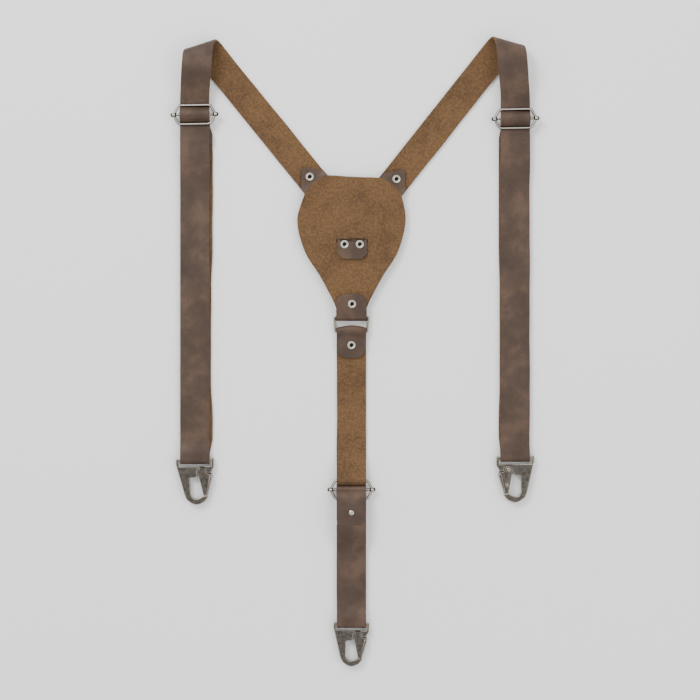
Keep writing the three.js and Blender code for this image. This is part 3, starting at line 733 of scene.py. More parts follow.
def make_materials():
    grain_material()
    suede_material()
    edge_material()
    tarnish_group()
    # Pewter gets its painted highlight, partly standing for a rub, on its bevels, and nickel on its level
    # tops; both get painted shade on upright sides.
    metal_material("metal_pewter", colours().pewter, tarnish_and_shade_share=0.40, amount=0.85, strength=0.35,
                   painted_side_shade=(0.12, 0.42), rub_and_highlight_from=(0.30, 0.50), rub_and_highlight_to=(0.93, 0.985))
    metal_material("metal_nickel", colours().nickel, tarnish_and_shade_share=0.16, amount=0.60, strength=0.12,
                   painted_side_shade=(0.55, 0.90), rub_and_highlight_from=(0.86, 0.95), rub_and_highlight_to=(1.5, 1.6))
    bore_material()


# ---------------------------------------------------------------- the rear strap
REAR_TAB_END = 0.0111  # from the rivet of the D-ring's tab to the tab's end
REAR_LEVEL = 0.026  # from the adjuster to where the strap lies flat
TAB_DOWN = 0.0047  # from the rivet to where the tab meets the strap
TAB_ROUND = 0.0095  # length of the tab's rounded end
RING_RISE = 0.005  # from the D-ring's arc to where the strap begins to rise to it
RING_TOUCH = 0.001  # from either side of the D-ring to where leather touches it
BOW_MARGIN = 0.006  # from the D-ring's arc to where the strap is fully bowed


class RearStrap:
    """The rear strap lies face down, so its routes are a front strap's turned over."""

    def __init__(self):
        self.flip = layer(0) + layer(1)
        self.adjuster = Adjuster("rear").turned_over(self.flip)
        ring_low, ring_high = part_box("d_ring")
        self.x = self.adjuster.x
        self.ring_z = (ring_low.z + ring_high.z) / 2
        self.ring_turn = bar_turn(sizes().ring_wire) + sizes().gap / 2
        self.arc_y = ring_high.y - sizes().ring_wire / 2 - sizes().ring_depth
        self.tab_end = middle("rear_strap_rivet").y - REAR_TAB_END
        self.hook = joint_point("rear_hook_swing")
        self.hook.z = self.flip - self.hook.z

    def place(self, u, v, w):
        """Near the D-ring the strap lies along the ring's bowed arc."""
        near = smooth((u - self.tab_end) / (self.arc_y - BOW_MARGIN - self.tab_end))
        bow = sizes().ring_bow * (1 - (2 * v / sizes().strap_width) ** 2)
        return Vector((self.x - v, u + bow * near, self.flip - w))

    def upper_route(self):
        """From under the adjuster's middle bar up to the D-ring, round its arc, and the riveted tab."""
        adjuster = self.adjuster
        ring_w = self.flip - self.ring_z
        rivet_y = middle("rear_strap_rivet").y
        route = Route(adjuster.u, adjuster.w + adjuster.over)
        route.arc(adjuster.u, adjuster.w, adjuster.over, 84, 90 - adjuster.weave)
        route.arc(adjuster.high_u, adjuster.w, adjuster.turn, -90 - adjuster.weave, -90)
        route.ramp(adjuster.high_u + REAR_LEVEL, layer(1))
        route.line(self.arc_y - RING_RISE, layer(1))
        route.line(self.arc_y - RING_TOUCH, ring_w + self.ring_turn)
        route.arc(self.arc_y, ring_w, self.ring_turn, 90, -90)
        route.ramp(rivet_y + TAB_DOWN, layer(0))
        route.line(self.tab_end + TAB_ROUND, layer(0))
        return route.round_end(self.tab_end)

    def lower_route(self):
        """From the tail, round the hook's bar, and up to the adjuster's middle bar."""
        adjuster = self.adjuster
        route = hook_loop(adjuster, self.hook)
        route.ramp(adjuster.low_u, adjuster.w - adjuster.turn)
        route.arc(adjuster.low_u, adjuster.w, adjuster.turn, -84, -90 + adjuster.weave)
        return route.arc(adjuster.u, adjuster.w, adjuster.over, 90 + adjuster.weave, 90)


# ---------------------------------------------------------------- the back patch
PATCH_SIDES = ((0.0469, 0.1137), (0.0406, 0.0872), (0.0278, 0.0662), (0.0172, 0.0467))  # half width, height
NECK_END = 0.0377  # bottom of both layers' outline
NECK_TAB_END = 0.0497
NECK_MARGIN = 0.0005  # of the neck beyond a strap's edge, at each side
NECK_ROUND = 0.007  # length of the neck tab's rounded end
NECK_DOWN = 0.0037  # from the rivet to where the neck meets the lining
EAR_BULGE = (0.0008, 0.0020, 0.0020, 0.0008)  # of the patch's edge over an ear
CORNER_INSET = 0.0007  # of the patch's corners from the straps' edges
TAB_TOP = 0.0972  # where the centre tab leaves its slit
TAB_LENGTH = 0.017
TAB_TURN = 0.0004  # from the slit's lip in to the middle of the tab's turn
TAB_SINK = 0.0050  # from the lip to where the tab begins to dip
TAB_CUT = 0.0045  # of the tab's cut corners
TAG_LENGTH = 0.030  # on the outer face
SLIT_MARGIN = 0.0006
OUTER_SLIT = 0.0041  # how much higher the outer layer's slit reaches
SLIT_DEPTH = 0.0030  # below the slit's upper lip
TAB_DIP = 0.0015  # of the tab under the lip
TAB_NECK = 0.0085  # half width of the tab where it goes through
LIP_LIFT = 0.0029
LIP_SIDE = 0.0045  # from the tab to where the lip is down at its sides
LIP_LENGTH = 0.0098  # from the slit to where the lip is down above it
RIPPLE = 0.0003
FOLD_MARGIN = 0.001  # round a strap's folded end, before the lining comes down


def polyline(points, share):
    """The point at a share of a line's length."""
    lengths = [(second - first).length for first, second in zip(points, points[1:])]
    left = share * sum(lengths)
    for first, second, length in zip(points, points[1:], lengths):
        if left <= length:
            return first.lerp(second, left / length)
        left -= length
    return points[-1].copy()


def curve_through(points, count=14):
    """A smooth line through points (Catmull-Rom)."""
    ends = [2 * points[0] - points[1], *points, 2 * points[-1] - points[-2]]
    found = []
    for before, first, second, after in zip(ends, ends[1:], ends[2:], ends[3:]):
        for i in range(count):
            t = i / count
            found.append(0.5 * (2 * first + (second - before) * t
                                + (2 * before - 5 * first + 4 * second - after) * t * t
                                + (3 * first - before - 3 * second + after) * t ** 3))
    return [*found, points[-1]]


class Patch:
    """The back patch's outline, and the height of its lining."""

    def __init__(self):
        self.shoulders = [Shoulder(side) for side in FRONT_SIDES]
        self.x = Adjuster("rear").x
        self.neck_half = route_half() + NECK_MARGIN
        self.tab_x = middle("centre_tab").x
        half = route_half() - CORNER_INSET
        corner = {(side, sign): shoulder.ear_point(EAR_EDGE, sign * half).to_2d()
                  for side, shoulder in zip(FRONT_SIDES, self.shoulders) for sign in (-1, 1)}
        bulge = [(outwards, share) for outwards, share in zip(EAR_BULGE, (-0.8, -0.35, 0.35, 0.8))]
        over = {side: [shoulder.ear_point(EAR_EDGE - out, share * half).to_2d() for out, share in bulge]
                for side, shoulder in zip(FRONT_SIDES, self.shoulders)}
        self.top = [corner["left", -1], *over["left"], corner["left", 1],
                    corner["right", 1], *reversed(over["right"]), corner["right", -1]]
        side = (*PATCH_SIDES, (self.neck_half, NECK_END))
        sides = {sign: [Vector((self.x + sign * x, y)) for x, y in side] for sign in (-1, 1)}
        self.left = curve_through([self.top[0], *sides[-1]])
        self.right = curve_through([self.top[-1], *sides[1]])
        self.bottom = [self.left[-1], self.right[-1]]

    def locate(self, across, down):
        """A point of the sheet, blended from its four sides."""
        top = polyline(self.top, across)
        bottom = self.bottom[0].lerp(self.bottom[1], across)
        left = polyline(self.left, down)
        right = polyline(self.right, down)
        chords = [end.lerp(foot, down) for end, foot in zip((self.top[0], self.top[-1]), self.bottom)]
        corners = chords[0].lerp(chords[1], across)
        return top.lerp(bottom, down) + left.lerp(right, across) - corners

    def rise(self, point):
        """How far a strap's folded end lifts the lining, as a share of one layer."""
        highest = 0.0
        for shoulder in self.shoulders:
            near = shoulder.ear_point(0, 0).to_2d()
            heading = (shoulder.ear_point(0.001, 0).to_2d() - near).normalized()
            away = point - near
            along = away.dot(heading)
            across = abs(away.cross(heading))
            end = EAR_EDGE + CORNER_BAR + sheet() + sizes().leather / 2
            lengthwise = smooth(1 - (along - end - FOLD_MARGIN) / 0.012)
            crosswise = smooth(1 - (across - route_half() - FOLD_MARGIN) / 0.010)
            highest = max(highest, lengthwise * crosswise)
        return highest

    def lip(self, point):
        """The slit's upper lip is raised over the centre tab."""
        above = point.y - TAB_TOP
        if above < -0.0001:
            return 0.0
        across = smooth(1 - (abs(point.x - self.tab_x) - TAB_NECK - sizes().gap) / LIP_SIDE)
        return LIP_LIFT * across * smooth(1 - above / LIP_LENGTH)

    def ripple(self, point):
        """The slight unevenness of a hand-laid sheet."""
        return RIPPLE * math.sin(point.x * 95 + 1.3) * math.sin(point.y * 71 + 0.4)


def route_half():
    """Half the width of a strap."""
    return sizes().strap_width / 2


def neck_route(patch):
    """The outer layer's neck goes round the D-ring's bar and is riveted over the lining."""
    ring_low, ring_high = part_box("d_ring")
    ring_y = ring_high.y - sizes().ring_wire / 2
    ring_z = (ring_low.z + ring_high.z) / 2
    turn = bar_turn(sizes().ring_wire) + sizes().gap / 2
    rivet_y = middle("neck_rivet").y
    route = Route(NECK_END - 0.0012, layer(1), patch.neck_half)
    route.ramp(ring_y + RING_TOUCH, ring_z - turn)
    route.arc(ring_y, ring_z, turn, -90, -270)
    route.ramp(rivet_y - NECK_DOWN, layer(3))
    route.line(NECK_TAB_END - NECK_ROUND, layer(3))
    return route.round_end(NECK_TAB_END)


PATCH_COLUMNS = 60
PATCH_ROWS = 66
SNAP_ACROSS = 0.00080  # a point of the grid this near to the slit's outline moves onto it
SNAP_DOWN = 0.00088


def cut_slit(mesh, patch, high):
    """Opens the slit for the centre tab, with straight lips."""
    half = route_half() + SLIT_MARGIN
    low = TAB_TOP - SLIT_DEPTH
    inside = [face for face in mesh.faces
              if abs(face.calc_center_median().x - patch.tab_x) < half
              and low < face.calc_center_median().y < high]
    gone = set(inside)
    rim = [vert for vert in {vert for face in inside for vert in face.verts}
           if not all(near in gone for near in vert.link_faces)]
    bmesh.ops.delete(mesh, geom=inside, context="FACES")
    for vert in rim:
        if abs(abs(vert.co.x - patch.tab_x) - half) < SNAP_ACROSS:
            vert.co.x = patch.tab_x + math.copysign(half, vert.co.x - patch.tab_x)
        for lip in (low, high):
            if abs(vert.co.y - lip) < SNAP_DOWN:
                vert.co.y = lip


def patch_layer(name, patch, height, slit_top, neck=None):
    """One layer of the patch, and its neck if it has one."""
    stations = neck.stations if neck else []
    rows = PATCH_ROWS + len(stations)
    lengths = neck.lengths() if neck else []

    def locate(column, row):
        index = round(row * rows)
        if index <= PATCH_ROWS:
            flat = patch.locate(column, index / PATCH_ROWS)
            return Vector((flat.x, flat.y, height(flat))), (flat.y, flat.x)
        u, w, half = stations[index - PATCH_ROWS - 1]
        v = (2 * column - 1) * half
        return Vector((patch.x + v, u, w)), (NECK_END - lengths[index - PATCH_ROWS - 1], patch.x + v)

    mesh = grid_mesh(PATCH_COLUMNS, rows, locate)
    cut_slit(mesh, patch, slit_top)
    return thicken(new_object(name, mesh, GRAIN_SUEDE))


def centre_tab_route():
    dipped = layer(3) - TAB_DIP
    turn = (dipped - layer(0)) / 2
    turn_y = TAB_TOP + TAB_TURN
    route = Route(TAB_TOP - TAB_LENGTH, layer(3), route_half() - TAB_CUT)
    route.add(TAB_TOP - TAB_LENGTH + TAB_CUT / 2, layer(3), route_half() - TAB_CUT / 2)
    route.add(TAB_TOP - TAB_LENGTH + TAB_CUT, layer(3), route_half())
    route.half = route_half()
    route.line(TAB_TOP - TAB_SINK, layer(3))
    route.ramp(TAB_TOP - 0.0003, dipped)
    route.half = TAB_NECK
    route.arc(turn_y, layer(0) + turn, turn, 90, -90)
    route.add(TAB_TOP - 0.0016, layer(0))
    route.half = route_half()
    route.add(TAB_TOP - 0.0018, layer(0))
    return route.line(TAB_TOP - TAG_LENGTH, layer(0))


# ---------------------------------------------------------------- metal pieces
WELD = 0.000002  # points of metal this near to each other become one


def finish_metal(name, mesh, material_name, sharp=40, facing=True):
    """Turns a bmesh of metal into an object: faces outward, smooth but for its corners."""
    bmesh.ops.remove_doubles(mesh, verts=mesh.verts, dist=WELD)
    if facing:
        bmesh.ops.recalc_face_normals(mesh, faces=mesh.faces)
    piece = new_object(name, mesh, [material_name])
    piece.data.set_sharp_from_angle(angle=math.radians(sharp))
    return piece


def rounded_corners(corners, radius, count=7):
    """A closed outline with every corner rounded."""
    points = []
    for before, corner, after in zip([corners[-1], *corners], corners, [*corners[1:], corners[0]]):
        back = (before - corner)
        on = (after - corner)
        reach = min(radius, back.length * 0.45, on.length * 0.45)
        start = corner + back.normalized() * reach
        end = corner + on.normalized() * reach
        for i in range(count + 1):
            t = i / count
            points.append(start * (1 - t) ** 2 + corner * 2 * t * (1 - t) + end * t * t)
    return points


def wire_mesh(points, radius, closed=True):
    """A round wire along points, as a mesh."""
    data = bpy.data.curves.new("wire", "CURVE")
    data.dimensions = "3D"
    data.bevel_depth = radius
    data.bevel_resolution = 6
    data.use_fill_caps = True
    spline = data.splines.new("POLY")
    spline.points.add(len(points) - 1)
    for spot, point in zip(spline.points, points):
        spot.co = (*point, 1)
    spline.use_cyclic_u = closed
    return curve_mesh(data)


def curve_mesh(data):
    """The mesh of a curve, as a bmesh. The curve is removed."""
    piece = bpy.data.objects.new("curve", data)
    bpy.context.scene.collection.objects.link(piece)
    bpy.context.view_layer.update()
    made = bpy.data.meshes.new_from_object(piece.evaluated_get(bpy.context.evaluated_depsgraph_get()))
    bpy.data.objects.remove(piece)
    bpy.data.curves.remove(data)
    mesh = bmesh.new()
    mesh.from_mesh(made)
    bpy.data.meshes.remove(made)
    bmesh.ops.remove_doubles(mesh, verts=mesh.verts, dist=WELD)
    bmesh.ops.recalc_face_normals(mesh, faces=mesh.faces)
    return mesh


def cast_plate(outline, low, high, edge):
    """A flat casting with rounded edges between two heights."""
    data = bpy.data.curves.new("casting", "CURVE")
    data.dimensions = "2D"
    data.fill_mode = "BOTH"
    data.extrude = (high - low) / 2 - edge
    data.bevel_depth = edge
    data.bevel_resolution = 3
    data.offset = -edge
    spline = data.splines.new("POLY")
    spline.points.add(len(outline) - 1)
    for spot, point in zip(spline.points, outline):
        spot.co = (point.x, point.y, 0, 1)
    spline.use_cyclic_u = True
    mesh = curve_mesh(data)
    bmesh.ops.translate(mesh, verts=mesh.verts, vec=(0, 0, (low + high) / 2))
    return mesh


def joined(*meshes):
    """Several bmeshes as one."""
    whole = bmesh.new()
    for mesh in meshes:
        data = bpy.data.meshes.new("part")
        mesh.to_mesh(data)
        mesh.free()
        whole.from_mesh(data)
        bpy.data.meshes.remove(data)
    return whole


def cylinder(length, radius, matrix):
    mesh = bmesh.new()
    bmesh.ops.create_cone(mesh, cap_ends=True, segments=40, radius1=radius, radius2=radius, depth=length,
                          matrix=matrix)
    return mesh


def turned(profile, x, y, steps=48):
    """A body of revolution about an upright axis from its profile of (radius, height)."""
    mesh = bmesh.new()
    verts = [mesh.verts.new((radius, 0, height)) for radius, height in profile]
    edges = [mesh.edges.new(pair) for pair in zip(verts, verts[1:])]
    bmesh.ops.spin(mesh, geom=[*verts, *edges], cent=(0, 0, 0), axis=(0, 0, 1), angle=math.tau,
                   steps=steps, use_merge=True)
    bmesh.ops.remove_doubles(mesh, verts=mesh.verts, dist=0.000005)
    bmesh.ops.recalc_face_normals(mesh, faces=mesh.faces)
    bmesh.ops.translate(mesh, verts=mesh.verts, vec=(x, y, 0))
    return mesh


def round_over(radius, low, high, corner, count=5):
    """The rounded outer edge of a disc, from its lower to its upper face."""
    corner = min(corner, (high - low) / 2)
    points = []
    for centre, start in ((low + corner, -90), (high - corner, 0)):
        for i in range(count + 1):
            angle = math.radians(start + 90 * i / count)
            points.append((radius - corner + corner * math.cos(angle), centre + corner * math.sin(angle)))
    return points


RIVET_HEAD = 0.0006
RIVET_SHANK = 0.0017
RIVET_RIM = 0.0009  # thickness of the rolled rim
RIVET_BORE = 0.0015
BORE_FLARE = 0.0002
DOME_RADIUS = 0.0031
DOME_HEIGHT = 0.0017
DOME_PROUD = 0.0006  # of the dome above the plain rivet it stands for
BORE_DEPTH = 0.0004  # the bore is closed above the leather, which has no holes


def tubular_rivet(name, node):
    """A tubular rivet: a plain head at one end and a rolled rim round its bore at the other."""
    low, high = node_height(node)
    centre = middle(node)
    box_low, box_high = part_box(node)
    head = (box_high.x - box_low.x) / 2
    depth = high - low
    profile = [(0, 0), *round_over(head, 0, RIVET_HEAD, RIVET_HEAD / 2), (RIVET_SHANK, RIVET_HEAD),
               (RIVET_SHANK, depth - RIVET_RIM), *round_over(head, depth - RIVET_RIM, depth, RIVET_RIM / 2),
               (RIVET_BORE + 0.0005, depth - 0.00008), (RIVET_BORE + BORE_FLARE, depth - 0.00030),
               (RIVET_BORE, depth - BORE_DEPTH), (0, depth - BORE_DEPTH)]
    mesh = turned(profile, centre.x, centre.y)
    bmesh.ops.translate(mesh, verts=mesh.verts, vec=(0, 0, low))
    piece = finish_metal(name, mesh, "metal_nickel", 60)
    piece.data.materials.append(bpy.data.materials["painted_bore_shadow"])
    # The bore's walls and floor near its top get the painted shadow.
    for face in piece.data.polygons:
        in_bore = (face.center.xy - centre.xy).length < RIVET_BORE + 1.5 * BORE_FLARE
        if in_bore and face.center.z > high - BORE_DEPTH - 0.0001:
            face.material_index = 1
    return piece


def faceted_rivet(name, node):
    """The rear tail's rivet has a small domed and faceted head."""
    low, high = node_height(node)
    centre = middle(node)
    head = DOME_RADIUS
    top = high - low + DOME_PROUD
    base = top - DOME_HEIGHT
    dome = [(head, base), (head, base + 0.0003), (head * 0.74, base + 0.0011), (head * 0.34, top - 0.0001)]
    profile = [(0, 0), (head, 0), (head, RIVET_HEAD), (RIVET_SHANK, RIVET_HEAD), (RIVET_SHANK, base), *dome,
               (0, top)]
    mesh = turned(profile, centre.x, centre.y, 10)
    bmesh.ops.translate(mesh, verts=mesh.verts, vec=(0, 0, low))
    return finish_metal(name, mesh, "metal_nickel", 12)


def dress(piece, body, slot, *nodes):
    """A finished piece rides on its body and stands for its CAD nodes."""
    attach(piece, body)
    if nodes:
        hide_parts(*nodes)
    return piece


# ---- adjusters ----
ADJUSTER_CORNER = 0.0026
BUTT_ASIDE = 0.0004  # of the butted ends from the middle of the lower bar
BUTT_GAP = 0.00016
BAR_SHORT = 0.0034  # how much shorter the middle bar is than the frame is wide
ADJUSTER_SHOULDER = 0.0044  # from the frame's corner in to the end of its bars
EYE_RADIUS = 0.00195  # of the middle bar's eye, at the middle of its wire
EYE_WIRE = 0.00082  # half of it
EYE_WIDTH = 1.9  # how much wider than thick the eye's strip is
ADJUSTER_TILT = {"left": 0.022, "right": 0.022, "rear": 0.0}  # rise across the frame, in radians


def adjuster_tilt(side):
    """The turn of an adjuster that lies a little askew."""
    return Matrix.Rotation(ADJUSTER_TILT[side], 3, "Z")


def adjuster_frame(side):
    """A wire bent into a long hexagon, with its two ends butted in the middle of the lower bar."""
    centre = middle(f"{side}_adjuster_frame")
    low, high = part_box(f"{side}_adjuster_frame")
    radius = sizes().wire / 2
    span = (high.x - low.x) / 2 - radius
    reach = sizes().adjuster_pitch / 2
    bar = span - ADJUSTER_SHOULDER
    corners = [Vector((x, y, 0)) for x, y in
               ((-bar, -reach), (-span, 0), (-bar, reach), (bar, reach), (span, 0), (bar, -reach))]
    points = rounded_corners(corners, ADJUSTER_CORNER)
    butt = Vector((BUTT_ASIDE, -reach, 0))
    parting = Vector((BUTT_GAP / 2, 0, 0))
    points = [butt - parting, *points, butt + parting]
    mesh = wire_mesh([centre + point for point in points], radius, closed=False)
    bmesh.ops.rotate(mesh, verts=mesh.verts, cent=centre, matrix=adjuster_tilt(side))
    return finish_metal(f"{side}_adjuster_wire", mesh, "metal_nickel", 50)


def adjuster_bar(side):
    """The middle bar, with an eye at each end crimped round the frame's corner."""
    centre = middle(f"{side}_adjuster_frame")
    low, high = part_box(f"{side}_adjuster_frame")
    span = (high.x - low.x) / 2 - sizes().wire / 2
    meshes = [cylinder(2 * span - BAR_SHORT, sizes().wire / 2,
                       Matrix.Translation(centre) @ Matrix.Rotation(math.pi / 2, 4, "Y"))]
    for end in (-1, 1):
        eye = [centre + Vector((end * span + EYE_RADIUS * math.cos(angle), 0, EYE_RADIUS * math.sin(angle)))
               for angle in [math.tau * i / 32 for i in range(32)]]
        mesh = wire_mesh(eye, EYE_WIRE)
        bmesh.ops.scale(mesh, verts=mesh.verts, vec=(1, EYE_WIDTH, 1), space=Matrix.Translation(-centre))
        meshes.append(mesh)
    mesh = joined(*meshes)
    bmesh.ops.rotate(mesh, verts=mesh.verts, cent=centre, matrix=adjuster_tilt(side))
    return finish_metal(f"{side}_adjuster_middle_bar", mesh, "metal_nickel", 50)


RING_CORNER = 0.0020
RING_TAPER = 0.0011  # how much narrower the arc's end is than the bar, at each side


def ring_wire():
    """The D-ring, with a straight bar and a slightly bowed arc."""
    low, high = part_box("d_ring")
    radius = sizes().ring_wire / 2
    centre = Vector(((low.x + high.x) / 2, high.y - radius, (low.z + high.z) / 2))
    half = (high.x - low.x) / 2 - radius
    reaches = [(half - RING_TAPER) * (1 - i / 4) for i in range(9)]
    arc = [(x, sizes().ring_bow * (1 - (2 * x / sizes().strap_width) ** 2) - sizes().ring_depth)
           for x in reaches]
    corners = [Vector((x, y, 0)) for x, y in ((-half, 0), (half, 0), *arc)]
    mesh = wire_mesh([centre + point for point in rounded_corners(corners, RING_CORNER)], radius)
    return finish_metal("d_ring_wire", mesh, "metal_pewter", 50)


# ---- snap hooks, drawn as in the frame with the strap's bar along X at the origin ----
HOOK_HALF = 0.0023
SLOT_HALF = 0.0132
SLOT_DEPTH = 0.0053
GATE_PIVOT = Vector((0.0055, -0.0094))
GATE_RADIUS = 0.00345
GATE_END = -0.0288
GATE_PLAY = 0.0004  # between the gate's round head and the casting
SLOT_LEDGE = 0.0007  # of the casting between the strap's slot and the gate
CHEEK = 0.00115  # from the middle to a cheek's inner face
CHEEK_EDGE = 0.00035
HOOK_EDGE = 0.00065  # rounding of the casting's edges
LUG_RADIUS = 0.0031
LUG_HALF = 0.0008
LUG_EDGE = 0.0002
WEB_RISE = 0.0002  # of the gate's flank over its cheeks
WEB_EDGE = 0.0009
PIN_SHORT = 0.0009  # of a pin's end below the casting's face
PIVOT_RADIUS = 0.0012
PIVOT_HEAD = 0.0027
SPRING_PIN_RADIUS = 0.0009
SPRING_PIN_HEAD = 0.0021
SPRING_PIN = Vector((0.0069, -0.0220))


def spots(*places):
    return [Vector(place) for place in places]


def arc_points(centre, radius, start, end, count=18):
    return [centre + radius * Vector((math.cos(angle), math.sin(angle)))
            for angle in [math.radians(start + (end - start) * i / count) for i in range(count + 1)]]


def hook_outline():
    """The body: two ears beside the strap's bar, a shield that narrows to a round foot, and the mouth."""
    half = (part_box("rear_hook")[1].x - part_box("rear_hook")[0].x) / 2
    bar = sizes().hook_bar / 2
    foot = curve_through(spots((-0.0096, -0.027), (-0.007, -0.0326), (0, -0.0364), (0.0066, -0.0342),
                               (0.0100, -0.0303)))
    inner = curve_through(spots((0.0058, -0.0293), (0.0022, -0.0312), (-0.002, -0.0312), (-0.0043, -0.028)))
    bite = [Vector((point.x, min(point.y, -SLOT_DEPTH - SLOT_LEDGE)))
            for point in arc_points(GATE_PIVOT, GATE_RADIUS + GATE_PLAY, 208, -12)]
    return [*spots((-SLOT_HALF, bar), (-half, bar), (-half, -0.003)), *foot, Vector((0.0096, -0.0293)),
            *inner, *spots((-0.0043, -0.0153), (-0.0036, -0.0143), (0.0002, -0.0143)), *bite,
            *spots((0.0128, -0.0106), (half, -0.006), (half, bar), (SLOT_HALF, bar),
                   (SLOT_HALF, -SLOT_DEPTH), (-SLOT_HALF, -SLOT_DEPTH))]


def gate_outline():
    """The gate: a round head at its pivot, a thumb corner, and sides that narrow to its end."""
    return [*arc_points(GATE_PIVOT, GATE_RADIUS, 180, -20),
            *spots((0.0100, -0.0114), (0.0134, -0.0122), (0.0140, -0.0126), (0.0142, -0.0132),
                   (0.0097, GATE_END), (0.0062, GATE_END), (0.0028, -0.0130))]


HOOK_SCALE = {"left": 1.06, "right": 1.06, "rear": 1.0}  # the front hooks are a little larger
HOOK_LEAN = {"left": 0.035, "right": 0.02, "rear": -0.02}  # about the upright, in radians


def hook_place(side):
    """Puts a hook drawn at the origin where it hangs. The right hook shows its other face."""
    origin = joint_point(f"{side}_hook_swing")
    turn = Matrix.Rotation(math.pi, 4, "Y") if side == "right" else Matrix.Identity(4)
    return (Matrix.Translation(origin) @ Matrix.Rotation(HOOK_LEAN[side], 4, "Z") @ turn
            @ Matrix.Scale(HOOK_SCALE[side], 4))


def hook_body(side):
    """The casting, with a thin lug between the gate's cheeks and the round bar that the strap goes round."""
    lug = arc_points(GATE_PIVOT, LUG_RADIUS, 0, 345, 40)
    neck = spots((-0.0010, -0.0140), (-0.0010, -0.0058), (0.0130, -0.0058), (0.0133, -0.0120),
                 (0.0080, -0.0120), (0.0032, -0.0125))
    bar = cylinder(2 * SLOT_HALF + 0.001, sizes().hook_bar / 2, Matrix.Rotation(math.pi / 2, 4, "Y"))
    shield = cast_plate(hook_outline(), -HOOK_HALF, HOOK_HALF, HOOK_EDGE)
    thin = [cast_plate(outline, -LUG_HALF, LUG_HALF, LUG_EDGE) for outline in (lug, neck)]
    mesh = joined(shield, *thin, bar)
    mesh.transform(hook_place(side))
    return finish_metal(f"{side}_hook_casting", mesh, "metal_pewter", 50, facing=False)


def gate_body(side):
    """Two cheeks, joined along the flank that the thumb presses."""
    cheeks = [cast_plate(gate_outline(), low, high, CHEEK_EDGE)
              for low, high in ((-HOOK_HALF, -CHEEK), (CHEEK, HOOK_HALF))]
    end = GATE_END + WEB_RISE
    flank = spots((0.0113, -0.0130), (0.0082, end), (0.0098, end), (0.0143, -0.0133), (0.0136, -0.0124))
    web = cast_plate(flank, -HOOK_HALF - WEB_RISE, HOOK_HALF + WEB_RISE, WEB_EDGE)
    mesh = joined(*cheeks, web)
    mesh.transform(hook_place(side))
    return finish_metal(f"{side}_hook_lever", mesh, "metal_pewter", 50, facing=False)


def hook_pin(name, side, spot, radius, head):
    """A pin through both cheeks, with a ringed head on the casting's rivet side."""
    end = HOOK_HALF - PIN_SHORT
    top = -HOOK_HALF - sizes().gap
    face = top - RIVET_HEAD
    profile = [(0, end), (radius, end), (radius, top), (head, top), (head, face + 0.0003),
               (head - 0.0003, face), (head - 0.0009, face), (head - 0.0012, face + 0.00035),
               (head - 0.0015, face + 0.0001), (0, face - 0.00015)]
    mesh = turned(profile, spot.x, spot.y, 32)
    mesh.transform(hook_place(side))
    return finish_metal(name, mesh, "metal_pewter", 40)


# ---------------------------------------------------------------- the stage
def make_floor():
    nodes, shader = material("floor")
    vector = nodes.place()
    tone = nodes.noise(vector, 3, 4, 0.5)
    light = rgba(colours().floor)
    shade = rgba(tuple(channel * 0.97 for channel in colours().floor))
    nodes.feed(shader.inputs["Base Color"], nodes.mix(tone, light, shade))
    shader.inputs["Roughness"].default_value = 0.9
    mesh = bmesh.new()
    bmesh.ops.create_grid(mesh, x_segments=1, y_segments=1, size=4)
    floor = new_object("floor", mesh, ["floor"])


CAMERA_AIM = Vector((-0.0043, 0.0014, 0))
CAMERA_HEIGHT = 2.0
VIEW_WIDTH = 0.6069  # of the stretch of table that the camera sees
SENSOR = 36  # in millimetres


def make_camera():
    data = bpy.data.cameras.new("camera")
    camera = bpy.data.objects.new("camera", data)
    bpy.context.scene.collection.objects.link(camera)
    camera.location = CAMERA_AIM + Vector((0, 0, CAMERA_HEIGHT))
    data.sensor_width = SENSOR
    data.lens = SENSOR * CAMERA_HEIGHT / VIEW_WIDTH
    data.clip_end = 50
    bpy.context.scene.camera = camera


def area_light(name, location, size, power):
    """A round lamp that looks at the middle of the table."""
    data = bpy.data.lights.new(name, "AREA")
    data.shape = "DISK"
    data.size = size
    data.energy = power
    lamp = bpy.data.objects.new(name, data)
    lamp.location = location
    lamp.rotation_euler = (-Vector(location)).to_track_quat("-Z", "Y").to_euler()
    bpy.context.scene.collection.objects.link(lamp)


def make_lights():
    area_light("key_light", (-0.9, 1.1, 1.5), 0.8, 25)
    area_light("fill_light", (1.3, -0.4, 1.6), 1.4, 13)
    area_light("back_light", (0.1, 1.8, 0.8), 1.0, 9)
    world = bpy.data.worlds.new("studio")
    world.use_nodes = True
    background = world.node_tree.nodes["Background"]
    background.inputs["Color"].default_value = (1, 1, 1, 1)
    background.inputs["Strength"].default_value = 1.15
    bpy.context.scene.world = world


# ---------------------------------------------------------------- operators
class SUSPENDERS_OT_materials(bpy.types.Operator):
    """Make the leather and metal materials"""
    bl_idname = "suspenders.materials"
    bl_label = "Materials"

    def execute(self, context):
        make_materials()
        return {"FINISHED"}


class SUSPENDERS_OT_front_straps(bpy.types.Operator):
    """Make both front straps: the long run, the weave through the adjuster and the free end"""
    bl_idname = "suspenders.front_straps"
    bl_label = "Front straps"

    def execute(self, context):
        for side in FRONT_SIDES:
            adjuster = Adjuster(side)
            shoulder = Shoulder(side)
            run = strip(f"{side}_strap_run", front_run_route(side, shoulder, adjuster), shoulder.place,
                        tail_aside(side))
            dress(run, "back", "grain_leather", f"{side}_strap")
            weave = strip(f"{side}_strap_weave", weave_route(adjuster), shoulder.place)
            dress(weave, f"{side}_adjuster", "grain_leather")
            end = strip(f"{side}_strap_end", fold_end(adjuster), shoulder.place, fold_aside(side, adjuster))
            dress(end, f"{side}_adjuster", "grain_leather")
        return {"FINISHED"}


